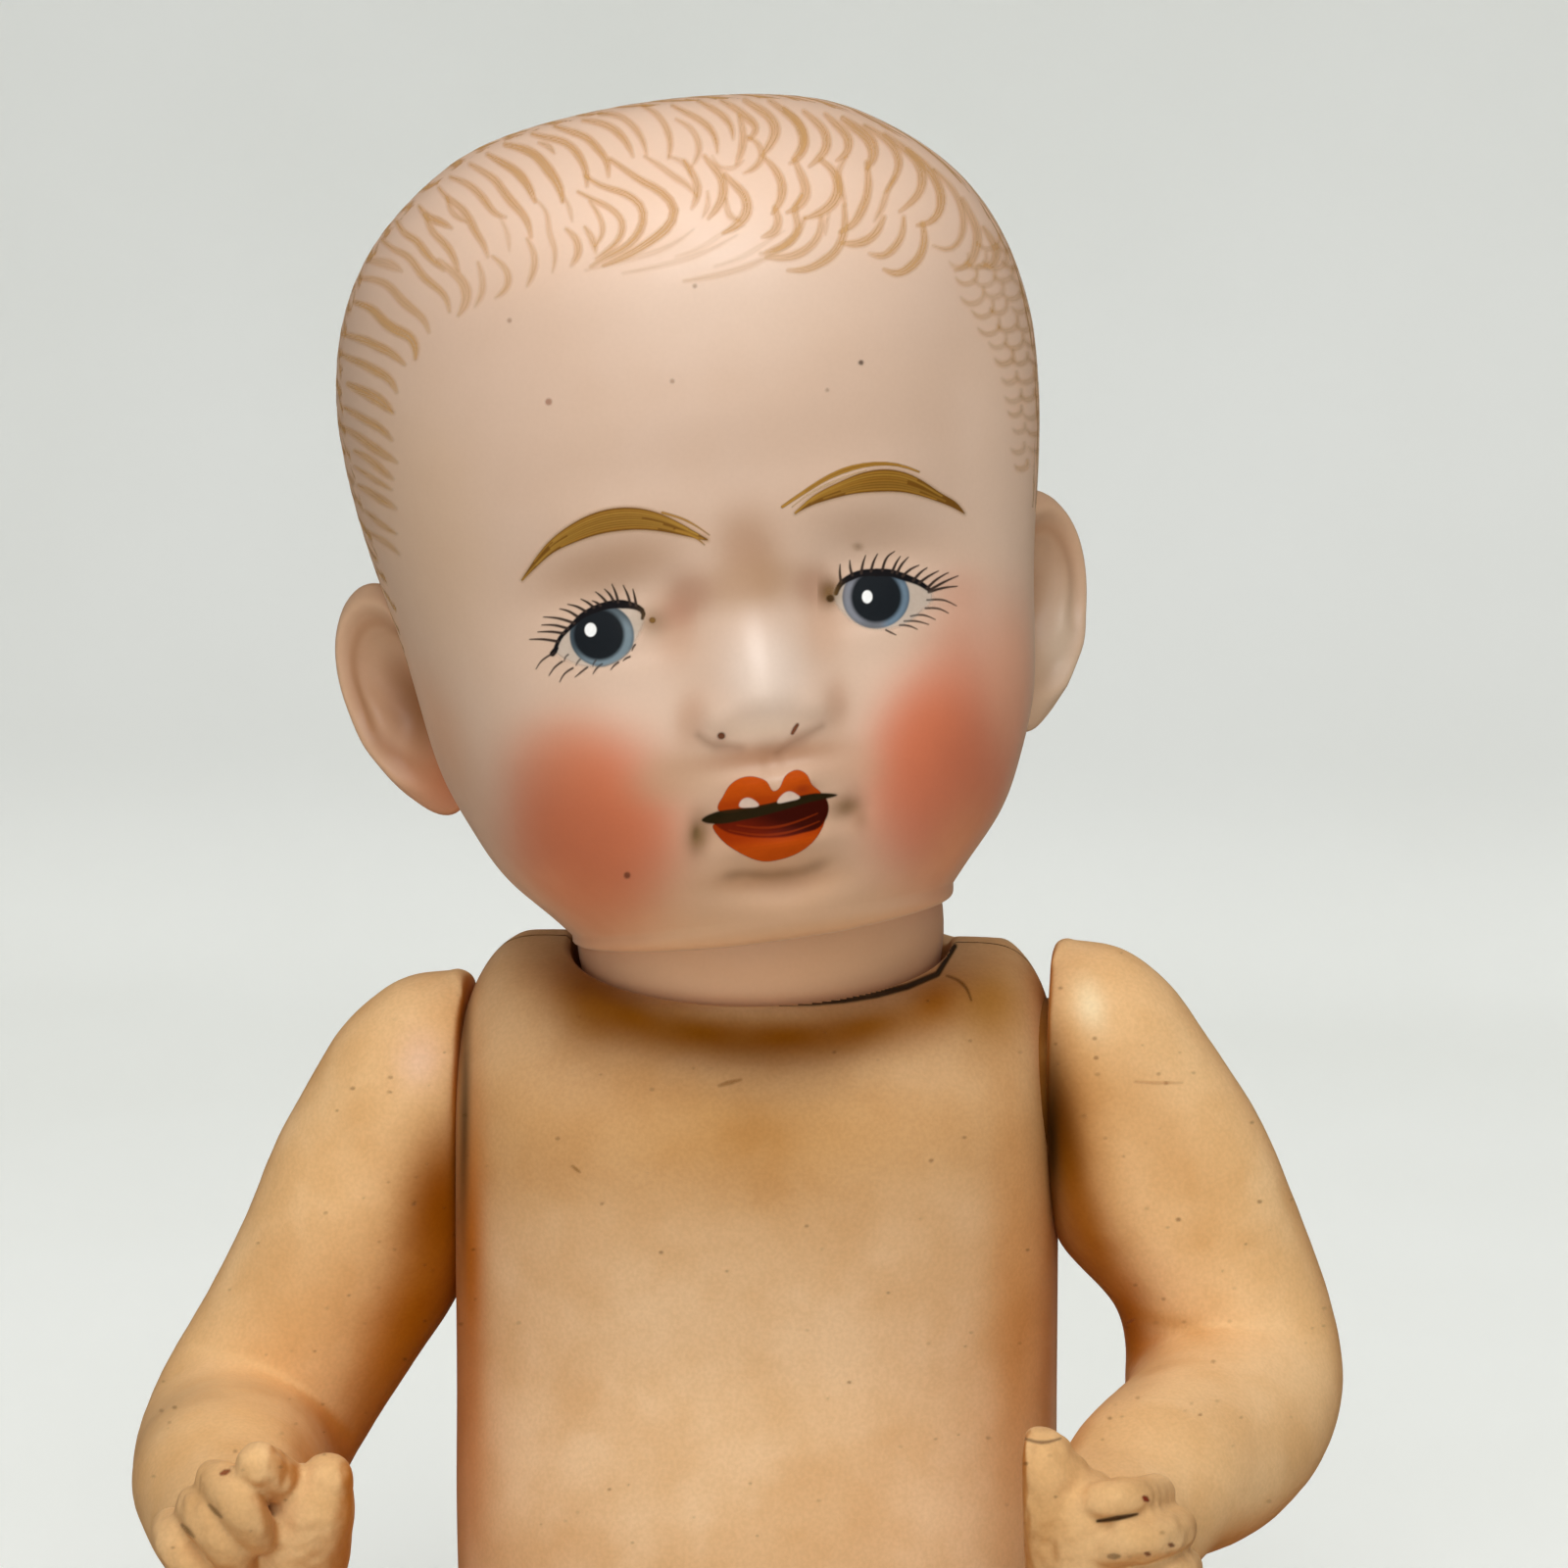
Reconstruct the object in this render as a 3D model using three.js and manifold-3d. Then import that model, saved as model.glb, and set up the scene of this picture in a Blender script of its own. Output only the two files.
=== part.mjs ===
// A bent-limb baby doll: a hollow bisque socket head on a five-piece composition body,
// strung with elastic cords. It sits on a flat at the bottom of its body.
// Millimetres, +Z up. The doll faces -Y and its left side is +X.
// The origin is the middle of the flat that it sits on.
import * as THREE from 'three';
import { mergeVertices } from 'three/addons/utils/BufferGeometryUtils.js';
import Module from 'manifold-3d';

const wasm = await Module();
wasm.setup();

// Sizes of the whole body
const torsoHeight = 101.2;
const torsoWidth = 58.6;
const bellyDepth = 27.4;
const backDepth = 22;
const compositionWall = 2.6;
const seamPlace = 3;
const seamGap = 0.3;
const jointGap = 0.3;
const seatHalfWidth = 12;
const seatFrontDepth = 9;
const seatBackDepth = 12;

// Sizes of the neck joint: the bisque ball turns in a leather-lined cup
const neckSink = 0.7;
const neckHeight = torsoHeight - neckSink;
const neckSetBack = 3;
const neckRadius = 17;
const linerThickness = 0.8;
const neckBallDepth = 14;
const cupDepth = 15.2;
const neckHoleRadius = 7.6;
const throatRadius = 24;
const throatStart = 0.5;
const throatRise = 3;
const neckLean = 10;
const neckLeanDrop = 4.2;
const neckLeanLength = 17;
const neckLeanTop = torsoHeight - neckLeanDrop;
const neckLeanFoot = neckLeanTop - neckLeanLength;
const linerFootAngle = 36;
const linerRimAngle = 70;

// Sizes of the head, from the level where the skull is widest
const headWidth = 67;
const foreheadDepth = 37.8;
const skullBackDepth = 40.5;
const crownHeight = 27.6;
const chinDrop = 54;
const neckDrop = 52;
const neckBehind = 4;
const bisqueWall = 2.8;
const headTurn = 11;
const headNod = -8;
const headTilt = -7.5;
const degree = Math.PI / 180;

// Sizes of the ears
const earHeight = 24.5;
const earWidth = 12.5;
const earThickness = 5.2;
const earSink = 2.3;
const earPlace = headWidth / 2 - earSink;
const earSetBack = 4;
const earDrop = 25.5;
const earFlare = 38;
const earLean = 22;
const earHollowShare = 0.62;

// Sizes of the shoulder joints and the arms
const shoulderInset = 1.9;
const shoulderSpan = torsoWidth - 2 * shoulderInset;
const shoulderForward = -0.5;
const rightShoulderDrop = 18.2;
const leftShoulderDrop = 15.6;
const rightShoulderHeight = torsoHeight - rightShoulderDrop;
const leftShoulderHeight = torsoHeight - leftShoulderDrop;
const shoulderFlatRadius = 13;
const shoulderDishRadius = 20;
const shoulderDishDepth = 2.2;
const shoulderBossRadius = 8.4;
const armThickness = 20;
const rightArmSpread = 22.6;
const rightArmDrop = 34;
const rightArmReach = 36;
const leftArmSpread = 19.6;
const leftArmDrop = 30;
const leftArmReach = 36;

// Sizes of the hands
const handLength = 17;
const palmWidth = 13.5;
const palmThickness = 9;
const fingerThickness = 4.3;
const fingerLength = 8.5;
const rightFingerShare = 1;
const leftFingerShare = 0.84;
const rightHandRoll = 44;
const leftHandRoll = 4;

// Sizes of the hip joints and the legs
const hipInset = 4.8;
const hipSpan = torsoWidth - 2 * hipInset;
const hipForward = 4;
const hipHeight = 20;
const hipSlope = 25;
const hipFlatRadius = 15;
const hipDishRadius = 24;
const hipDishDepth = 2.2;
const hipBossRadius = 9.4;
const legThickness = 26;
const legSpread = 19.5;
const legReach = 46;
const ankleReach = 34;
const ankleDrop = 12.4;
const footLength = 25;
const footWidth = 16.4;
const footThickness = 12;
const toeThickness = 5.4;
const footLeanShare = 0.28;

// Sizes of the stringing: wooden plugs, steel wire hooks and elastic cords
const wireRadius = 0.8;
const hookBend = 2.4;
const hookTip = 2.2;
const elasticRadius = 1.1;
const ferruleWall = 0.6;
const ferruleLength = 6;
const cordEndGap = 0.6;
const armPlugRadius = 5;
const armPlugLength = 9;
const hipPlugRadius = 6;
const hipPlugLength = 10;
const plugRecess = 1;
const shankDepth = 7;
const armHookInset = 7;
const hipHookInset = 8;
const headHookDrop = 27;
const dowelRadius = 1.5;
const dowelLength = 17;
const eyeClearance = 0.4;
const eyeStartAngle = -60;
const eyeSweepAngle = 285;
const neckPlugTop = 1.8;
const neckPlugFoot = 12.6;
const neckPlugBoreTop = 4.5;
const neckPlugBoreFoot = 5.6;
const elasticDrop = 20.2;
const elasticDip = torsoHeight - elasticDrop;
const cordTurn = 12;
const lowGuideShare = 0.33;
const highGuideShare = 0.73;
const bigBlock = 400;
const overrun = 2;
const weldDistance = 0.0001;

// Colours and finish, taken from the doll's own surfaces
const finishes = {
  bisque: new THREE.MeshStandardMaterial({ color: 0xe6c3ad, roughness: 0.55, metalness: 0 }),
  composition: new THREE.MeshStandardMaterial({ color: 0xd9a066, roughness: 0.35, metalness: 0 }),
  wood: new THREE.MeshStandardMaterial({ color: 0xb98d5c, roughness: 0.7, metalness: 0 }),
  steel: new THREE.MeshStandardMaterial({ color: 0x8d8d90, roughness: 0.4, metalness: 0.9 }),
  elastic: new THREE.MeshStandardMaterial({ color: 0xe9e2d2, roughness: 0.85, metalness: 0 }),
  leather: new THREE.MeshStandardMaterial({ color: 0x6d4a2e, roughness: 0.8, metalness: 0 }),
};

const v3 = (x, y, z) => new THREE.Vector3(x, y, z);

function fromFaces(positions, faces) {
  return new wasm.Manifold(new wasm.Mesh({
    numProp: 3,
    vertProperties: new Float32Array(positions),
    triVerts: new Uint32Array(faces),
  }));
}

// A closed geometry as a solid for joining and cutting
function solid(geometry) {
  const bare = geometry.clone();
  bare.deleteAttribute('normal');
  bare.deleteAttribute('uv');
  const merged = mergeVertices(bare, weldDistance);
  return fromFaces(merged.attributes.position.array, merged.index.array);
}

// A finished solid as a named mesh
function piece(name, body, finish) {
  const mesh = body.getMesh();
  const geometry = new THREE.BufferGeometry();
  geometry.setAttribute('position', new THREE.BufferAttribute(new Float32Array(mesh.vertProperties), 3));
  geometry.setIndex(new THREE.BufferAttribute(new Uint32Array(mesh.triVerts), 1));
  geometry.computeVertexNormals();
  const made = new THREE.Mesh(geometry, finish);
  made.name = name;
  return made;
}

function joined(bodies) {
  return bodies.reduce((whole, body) => whole.add(body));
}

function cutBy(body, cutters) {
  return cutters.reduce((left, cutter) => left.subtract(cutter), body);
}

// A ball, and a cylinder that starts at a point and runs along a direction
function ball(centre, radius, around, down) {
  const geometry = new THREE.SphereGeometry(radius, around, down);
  return solid(geometry.translate(centre.x, centre.y, centre.z));
}

function rod(from, along, radius, length, sides) {
  const geometry = new THREE.CylinderGeometry(radius, radius, length, sides);
  geometry.translate(0, length / 2, 0);
  geometry.applyQuaternion(new THREE.Quaternion().setFromUnitVectors(v3(0, 1, 0), along));
  return solid(geometry.translate(from.x, from.y, from.z));
}

// Everything on the far side of a flat that passes through a point and faces along a direction
function beyond(point, along) {
  const geometry = new THREE.BoxGeometry(bigBlock, bigBlock, bigBlock);
  geometry.translate(0, bigBlock / 2, 0);
  geometry.applyQuaternion(new THREE.Quaternion().setFromUnitVectors(v3(0, 1, 0), along));
  return solid(geometry.translate(point.x, point.y, point.z));
}

// A skin through rings of points, closed by one point at each end
function skin(first, rings, last) {
  const positions = [first, ...rings.flat(), last].flatMap((p) => [p.x, p.y, p.z]);
  const count = rings[0].length;
  const faces = [];
  const at = (ring, place) => 1 + ring * count + (place % count);
  for (let place = 0; place < count; place += 1) {
    faces.push(0, at(0, place + 1), at(0, place));
    faces.push(at(rings.length, 0), at(rings.length - 1, place), at(rings.length - 1, place + 1));
  }
  for (let ring = 0; ring < rings.length - 1; ring += 1) {
    for (let place = 0; place < count; place += 1) {
      faces.push(at(ring, place), at(ring, place + 1), at(ring + 1, place));
      faces.push(at(ring, place + 1), at(ring + 1, place + 1), at(ring + 1, place));
    }
  }
  const body = fromFaces(positions, faces);
  if (body.volume() > 0) return body;
  for (let face = 0; face < faces.length; face += 3) {
    [faces[face + 1], faces[face + 2]] = [faces[face + 2], faces[face + 1]];
  }
  return fromFaces(positions, faces);
}

// A smooth value between the rows of a table whose first column goes steadily down
function smoothRow(rows, level) {
  let row = 0;
  while (row < rows.length - 2 && rows[row + 1][0] > level) row += 1;
  const [before, from, to, after] = [-1, 0, 1, 2].map(
    (step) => rows[Math.min(Math.max(row + step, 0), rows.length - 1)]);
  const span = to[0] - from[0];
  const share = Math.min(Math.max((level - from[0]) / span, 0), 1);
  return from.map((value, column) => {
    const slopeFrom = (to[column] - before[column]) / (to[0] - before[0]);
    const slopeTo = (after[column] - value) / (after[0] - from[0]);
    const rise = to[column] - value;
    const bendFrom = slopeFrom * span - rise;
    const bendTo = rise - slopeTo * span;
    const blend = share * (1 - share);
    return value + share * rise + blend * ((1 - share) * bendFrom + share * bendTo);
  });
}

// One level ring: half width, front and back depth, and how square the corners are
function levelRing(level, columns) {
  const [height, halfWidth, front, back, squareness] = level;
  return columns.map((angle) => {
    const ahead = Math.cos(angle);
    const aside = Math.sin(angle);
    const power = 2 / squareness;
    const depth = ahead > 0 ? front : back;
    const x = halfWidth * Math.sign(aside) * Math.abs(aside) ** power;
    const y = -depth * Math.sign(ahead) * Math.abs(ahead) ** power;
    return v3(x, y, height);
  });
}

function evenColumns(count) {
  return Array.from({ length: count }, (_, place) => (place / count) * 2 * Math.PI);
}

// Columns that crowd together at the front, where the face is
function faceColumns(half) {
  const crowdingShare = 1.5;
  const angles = [];
  for (let place = 0; place < half; place += 1) {
    angles.push(Math.PI * (place / half) ** crowdingShare);
  }
  const mirrored = angles.slice(1).reverse().map((angle) => 2 * Math.PI - angle);
  return [...angles, Math.PI, ...mirrored];
}

// A limb along a chain of stations, each a place with a half width and a half depth
function limb(stations, sideways, sides, steps) {
  const path = new THREE.CatmullRomCurve3(stations.map((s) => s.at), false, 'centripetal');
  const sizes = new THREE.CatmullRomCurve3(
    stations.map((s) => v3(s.wide, s.deep, 0)), false, 'catmullrom', 0.5);
  const rings = [];
  let side = sideways.clone();
  const capShares = [0.5, 0.87];
  const ringAt = (centre, tangent, size, share) => {
    const wide = side.clone().addScaledVector(tangent, -side.dot(tangent)).normalize();
    side = wide.clone();
    const deep = new THREE.Vector3().crossVectors(tangent, wide);
    return evenColumns(sides).map((angle) => centre.clone()
      .addScaledVector(wide, size.x * share * Math.cos(angle))
      .addScaledVector(deep, size.y * share * Math.sin(angle)));
  };
  const startTangent = path.getTangent(0);
  const startSize = sizes.getPoint(0);
  const startPole = stations[0].at.clone().addScaledVector(startTangent, -startSize.x);
  for (const share of capShares) {
    const back = startSize.x * Math.sqrt(1 - share * share);
    const centre = stations[0].at.clone().addScaledVector(startTangent, -back);
    rings.push(ringAt(centre, startTangent, startSize, share));
  }
  for (let step = 0; step <= steps; step += 1) {
    const t = step / steps;
    rings.push(ringAt(path.getPoint(t), path.getTangent(t), sizes.getPoint(t), 1));
  }
  const end = stations[stations.length - 1].at;
  const endTangent = path.getTangent(1);
  const endSize = sizes.getPoint(1);
  for (const share of [...capShares].reverse()) {
    const ahead = endSize.x * Math.sqrt(1 - share * share);
    rings.push(ringAt(end.clone().addScaledVector(endTangent, ahead), endTangent, endSize, share));
  }
  return skin(startPole, rings, end.clone().addScaledVector(endTangent, endSize.x));
}

// A round tube along a curve
function tube(curve, radius, sides, steps) {
  const section = new THREE.Shape(
    evenColumns(sides).map((angle) => new THREE.Vector2(radius * Math.cos(angle), radius * Math.sin(angle))));
  return solid(new THREE.ExtrudeGeometry(section, { steps, bevelEnabled: false, extrudePath: curve }));
}

// The head and its neck are made standing straight, with the widest level of the skull at zero
const headRowShares = [
  [1.0, 0.0, 0.0, 0.0, 2.0],
  [0.985, 0.22, 0.22, 0.22, 2.0],
  [0.94, 0.46, 0.45, 0.48, 2.0],
  [0.84, 0.645, 0.635, 0.67, 2.05],
  [0.735, 0.758, 0.745, 0.78, 2.1],
  [0.635, 0.839, 0.825, 0.855, 2.12],
  [0.53, 0.899, 0.885, 0.91, 2.15],
  [0.43, 0.94, 0.925, 0.95, 2.15],
  [0.325, 0.97, 0.96, 0.975, 2.15],
  [0.12, 1.0, 0.99, 1.0, 2.15],
  [-0.045, 1.0, 1.0, 1.0, 2.15],
  [-0.15, 0.982, 0.992, 0.98, 2.15],
  [-0.255, 0.952, 0.968, 0.935, 2.15],
  [-0.37, 0.915, 0.935, 0.865, 2.2],
  [-0.52, 0.88, 0.93, 0.765, 2.25],
  [-0.63, 0.845, 0.94, 0.69, 2.3],
  [-0.725, 0.785, 0.945, 0.63, 2.3],
  [-0.83, 0.69, 0.93, 0.575, 2.25],
  [-0.885, 0.605, 0.905, 0.54, 2.2],
  [-0.93, 0.53, 0.87, 0.523, 2.1],
  [-0.955, 0.508, 0.83, 0.517, 2.05],
  [-0.975, 0.503, 0.77, 0.514, 2.0],
  [-0.99, 0.5, 0.68, 0.512, 2.0],
  [-1.0, 0.497, 0.55, 0.51, 2.0],
  [-1.01, 0.494, 0.348, 0.507, 2.0],
];

// The modelling of the face, as shares of the head's width: place across, place down, spread both
// ways and how far it stands out
const faceFormShares = [
  { name: 'brow', across: 0.172, down: 0.187, spreadX: 0.119, spreadZ: 0.051, out: 0.007 },
  { name: 'eye socket', across: 0.188, down: 0.306, spreadX: 0.099, spreadZ: 0.066, out: -0.028 },
  { name: 'eyeball', across: 0.191, down: 0.333, spreadX: 0.063, spreadZ: 0.042, out: 0.019 },
  { name: 'nose bridge', across: 0, down: 0.313, spreadX: 0.051, spreadZ: 0.075, out: 0.021 },
  { name: 'nose', across: 0, down: 0.442, spreadX: 0.055, spreadZ: 0.06, out: 0.081 },
  { name: 'nostril wing', across: 0.055, down: 0.484, spreadX: 0.03, spreadZ: 0.03, out: 0.028 },
  { name: 'cheek', across: 0.261, down: 0.515, spreadX: 0.127, spreadZ: 0.127, out: 0.039 },
  { name: 'muzzle', across: 0, down: 0.604, spreadX: 0.113, spreadZ: 0.075, out: 0.03 },
  { name: 'upper lip', across: 0.036, down: 0.567, spreadX: 0.039, spreadZ: 0.022, out: 0.015 },
  { name: 'mouth', across: 0, down: 0.61, spreadX: 0.066, spreadZ: 0.021, out: -0.036 },
  { name: 'lower lip', across: 0, down: 0.654, spreadX: 0.06, spreadZ: 0.022, out: 0.019 },
  { name: 'chin crease', across: 0, down: 0.699, spreadX: 0.082, spreadZ: 0.019, out: -0.012 },
  { name: 'chin', across: 0, down: 0.749, spreadX: 0.097, spreadZ: 0.048, out: 0.019 },
];

function faceRelief(x, z) {
  let out = 0;
  for (const form of faceFormShares) {
    for (const side of form.across > 0 ? [-1, 1] : [1]) {
      const across = (x / headWidth - side * form.across) / form.spreadX;
      const down = (z / headWidth + form.down) / form.spreadZ;
      out += form.out * headWidth * Math.exp(-across * across - down * down);
    }
  }
  return out;
}

function headLevel(share) {
  const [, wide, front, back, squareness] = smoothRow(headRowShares, share);
  const height = share > 0 ? share * crownHeight : share * chinDrop;
  return [height, wide * headWidth / 2, front * foreheadDepth, back * skullBackDepth, squareness];
}

// The skull, face and neck ball, grown or shrunk evenly to make the outside and the hollow
function headForm(shares, columns, wall, withFace) {
  const rings = shares.map((share) => {
    const [height, wide, front, back, squareness] = headLevel(share);
    const lower = height > 0 ? height * (1 - wall / crownHeight) : height + (wall * height) / chinDrop;
    return levelRing([lower, wide - wall, front - wall, back - wall, squareness], columns)
      .map((point) => {
        const facing = Math.max(-point.y / front, 0);
        if (withFace) point.y -= faceRelief(point.x, point.z) * Math.min(facing * 1.6, 1);
        return point;
      });
  });
  const top = v3(0, 0, crownHeight - wall);
  const foot = v3(0, neckBehind, rings[rings.length - 1][0].z);
  return skin(top, rings, foot);
}

function headLevelShares(aboveCount, belowCount) {
  const lowest = headRowShares[headRowShares.length - 1][0];
  const above = Array.from({ length: aboveCount }, (_, k) => Math.cos(((k + 1) / aboveCount) * Math.PI / 2));
  const below = Array.from({ length: belowCount }, (_, k) => (lowest * (k + 1)) / belowCount);
  return [...above, ...below];
}

const neckPivot = v3(0, neckSetBack, neckHeight);
const headNeck = v3(0, neckBehind, -neckDrop);

// The turned, nodded and tilted head: each turn is about the middle of the neck ball
function headPose(body) {
  const turned = new THREE.Quaternion().setFromAxisAngle(v3(0, 0, 1), headTurn * degree);
  turned.multiply(new THREE.Quaternion().setFromAxisAngle(v3(1, 0, 0), headNod * degree));
  turned.multiply(new THREE.Quaternion().setFromAxisAngle(v3(0, 1, 0), headTilt * degree));
  return posed(body, headNeck, turned, neckPivot);
}

function posed(body, from, turn, to) {
  const matrix = new THREE.Matrix4().makeTranslation(to.x, to.y, to.z)
    .multiply(new THREE.Matrix4().makeRotationFromQuaternion(turn))
    .multiply(new THREE.Matrix4().makeTranslation(-from.x, -from.y, -from.z));
  return body.transform(matrix.elements);
}

// An ear: a flattened shell with a hollow in it, set at an angle to the side of the head
function ear(side) {
  const shell = new THREE.SphereGeometry(1, 12, 9);
  const hollow = new THREE.SphereGeometry(1, 8, 6);
  shell.scale(earWidth / 2, earThickness / 2, earHeight / 2);
  const hollowScale = [earWidth, earThickness, earHeight].map((size) => (size / 2) * earHollowShare);
  hollow.scale(...hollowScale);
  hollow.translate(0, -earThickness / 2, 0);
  const made = solid(shell).subtract(solid(hollow));
  const turn = new THREE.Quaternion().setFromAxisAngle(v3(0, 1, 0), side * earLean * degree);
  turn.premultiply(new THREE.Quaternion().setFromAxisAngle(v3(0, 0, 1), side * earFlare * degree));
  return posed(made, v3(0, 0, 0), turn, v3(side * earPlace, earSetBack, -earDrop));
}

// The hollow ring of the throat, which leaves room for the rim of the body when the head is moved
function throatRing(grown) {
  const foot = -neckDrop - neckRadius - overrun;
  const profile = [
    [neckRadius - grown, foot],
    [throatRadius + grown, foot],
    [throatRadius + grown, throatRise - neckDrop + grown],
    [neckRadius - grown, throatStart - neckDrop + grown],
    [neckRadius - grown, foot],
  ].map(([x, y]) => new THREE.Vector2(x, y));
  const ring = new THREE.LatheGeometry(profile, 32).rotateX(Math.PI / 2);
  return solid(ring.translate(0, neckBehind, 0));
}

function headShell() {
  const outside = headForm(headLevelShares(9, 26), faceColumns(17), 0, true);
  const neckBall = ball(headNeck, neckRadius, 26, 16);
  const inside = headForm(headLevelShares(4, 7), evenColumns(14), bisqueWall * 1.6, false)
    .subtract(throatRing(bisqueWall));
  const neckHollow = ball(headNeck, neckRadius - bisqueWall, 18, 10);
  const neckHole = rod(headNeck, v3(0, 0, -1), neckHoleRadius, neckRadius + overrun, 14);
  const footCut = beyond(v3(0, 0, -neckDrop - neckBallDepth), v3(0, 0, -1));
  const whole = joined([outside.subtract(throatRing(0)), neckBall, ear(-1), ear(1)]);
  return headPose(cutBy(whole, [inside, neckHollow, neckHole, footCut]));
}

// The leather liner glued in the cup, with the ball running in it
function neckLiner() {
  const inner = neckRadius + jointGap;
  const outer = inner + linerThickness;
  const from = linerFootAngle * degree;
  const to = linerRimAngle * degree;
  const steps = 4;
  const profile = [];
  for (let k = 0; k <= steps; k += 1) {
    const angle = from + ((to - from) * k) / steps;
    profile.push(new THREE.Vector2(outer * Math.sin(angle), -outer * Math.cos(angle)));
  }
  for (let k = steps; k >= 0; k -= 1) {
    const angle = from + ((to - from) * k) / steps;
    profile.push(new THREE.Vector2(inner * Math.sin(angle), -inner * Math.cos(angle)));
  }
  profile.push(profile[0].clone());
  const ring = solid(new THREE.LatheGeometry(profile, 24).rotateX(Math.PI / 2));
  const lean = new THREE.Quaternion().setFromAxisAngle(v3(1, 0, 0), neckLean * degree);
  return posed(ring, v3(0, 0, 0), lean, neckPivot);
}

const cupRadius = neckRadius + jointGap + linerThickness + jointGap;
const leanAxis = v3(0, -Math.sin(neckLean * degree), Math.cos(neckLean * degree));

// The body: height share, half width share, belly and back depth shares and squareness
const torsoRowShares = [
  [1.0, 0.0, 0.0, 0.0, 2.0],
  [0.998, 0.3, 0.3, 0.42, 2.0],
  [0.992, 0.54, 0.46, 0.74, 2.0],
  [0.98, 0.7, 0.54, 0.9, 2.1],
  [0.96, 0.815, 0.59, 0.955, 2.2],
  [0.93, 0.89, 0.635, 0.975, 2.3],
  [0.895, 0.93, 0.7, 0.975, 2.4],
  [0.855, 0.95, 0.78, 0.965, 2.45],
  [0.8, 0.96, 0.82, 0.955, 2.45],
  [0.73, 0.972, 0.805, 0.935, 2.4],
  [0.66, 0.985, 0.785, 0.915, 2.35],
  [0.595, 0.995, 0.795, 0.895, 2.3],
  [0.53, 1.0, 0.87, 0.895, 2.25],
  [0.45, 1.0, 0.97, 0.915, 2.25],
  [0.36, 0.995, 1.0, 0.96, 2.25],
  [0.27, 0.975, 0.965, 1.0, 2.25],
  [0.19, 0.905, 0.86, 0.985, 2.25],
  [0.11, 0.76, 0.7, 0.89, 2.2],
  [0.05, 0.58, 0.52, 0.74, 2.15],
  [0.012, 0.44, 0.37, 0.58, 2.1],
  [0.0, (2 * seatHalfWidth) / torsoWidth, seatFrontDepth / bellyDepth, seatBackDepth / backDepth, 2.1],
];

// The front of the body's top slopes down with the rim of the neck cup
function leaned(point) {
  const rise = (point.z - neckLeanFoot) / (neckLeanTop - neckLeanFoot);
  const share = Math.min(Math.max(rise, 0), 1);
  const smooth = share * share * (3 - 2 * share);
  point.z += smooth * Math.min(point.y - neckSetBack, 0) * Math.tan(neckLean * degree);
  return point;
}

// Shares from one down to nought that crowd together at both ends
function evenFalls(count) {
  return Array.from({ length: count }, (_, k) => (1 + Math.cos(((k + 1) / count) * Math.PI)) / 2);
}

function torsoForm(shares, columns, wall) {
  const rings = shares.map((share) => {
    const [, wide, front, back, squareness] = smoothRow(torsoRowShares, share);
    const height = share * torsoHeight + wall * (1 - 2 * share);
    const [half, ahead, behind] = [wide * torsoWidth / 2, front * bellyDepth, back * backDepth];
    return levelRing([height, half - wall, ahead - wall, behind - wall, squareness], columns).map(leaned);
  });
  const top = leaned(v3(0, 0, torsoHeight - wall));
  const foot = v3(0, 0, wall);
  return skin(top, rings, foot);
}

const rightShoulder = v3(-shoulderSpan / 2, -shoulderForward, rightShoulderHeight);
const leftShoulder = v3(shoulderSpan / 2, -shoulderForward, leftShoulderHeight);
const rightHip = v3(-hipSpan / 2, -hipForward, hipHeight);
const leftHip = v3(hipSpan / 2, -hipForward, hipHeight);
const outRight = v3(-1, 0, 0);
const outLeft = v3(1, 0, 0);
const hipRight = v3(-Math.cos(hipSlope * degree), 0, -Math.sin(hipSlope * degree));
const hipLeft = v3(Math.cos(hipSlope * degree), 0, -Math.sin(hipSlope * degree));

// Each limb joint: a flat on the body with a shallow dish, in which the limb's dome turns
const joints = {
  rightShoulder: {
    at: rightShoulder, out: outRight, flat: shoulderFlatRadius, bend: shoulderDishRadius,
    depth: shoulderDishDepth, boss: shoulderBossRadius, plug: armPlugRadius, plugLength: armPlugLength,
  },
  leftShoulder: {
    at: leftShoulder, out: outLeft, flat: shoulderFlatRadius, bend: shoulderDishRadius,
    depth: shoulderDishDepth, boss: shoulderBossRadius, plug: armPlugRadius, plugLength: armPlugLength,
  },
  rightHip: {
    at: rightHip, out: hipRight, flat: hipFlatRadius, bend: hipDishRadius,
    depth: hipDishDepth, boss: hipBossRadius, plug: hipPlugRadius, plugLength: hipPlugLength,
  },
  leftHip: {
    at: leftHip, out: hipLeft, flat: hipFlatRadius, bend: hipDishRadius,
    depth: hipDishDepth, boss: hipBossRadius, plug: hipPlugRadius, plugLength: hipPlugLength,
  },
};

const alongJoint = (joint, distance) => joint.at.clone().addScaledVector(joint.out, distance);
const hookHoleRadius = hookBend + wireRadius + jointGap;

// A turned solid on the axis of a joint, from rows of radius and distance out from the joint's face
function turnedOn(joint, rows, sides) {
  const geometry = new THREE.LatheGeometry(rows.map(([x, y]) => new THREE.Vector2(x, y)), sides);
  geometry.applyQuaternion(new THREE.Quaternion().setFromUnitVectors(v3(0, 1, 0), joint.out));
  return solid(geometry.translate(joint.at.x, joint.at.y, joint.at.z));
}

// The rows of a shallow round cap about the dish's middle, out to an edge
function capRows(joint, radius, edge, count) {
  const middle = joint.bend - joint.depth;
  return Array.from({ length: count + 1 }, (_, k) => {
    const across = (edge * k) / count;
    return [across, middle - Math.sqrt(radius ** 2 - across ** 2)];
  });
}

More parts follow.
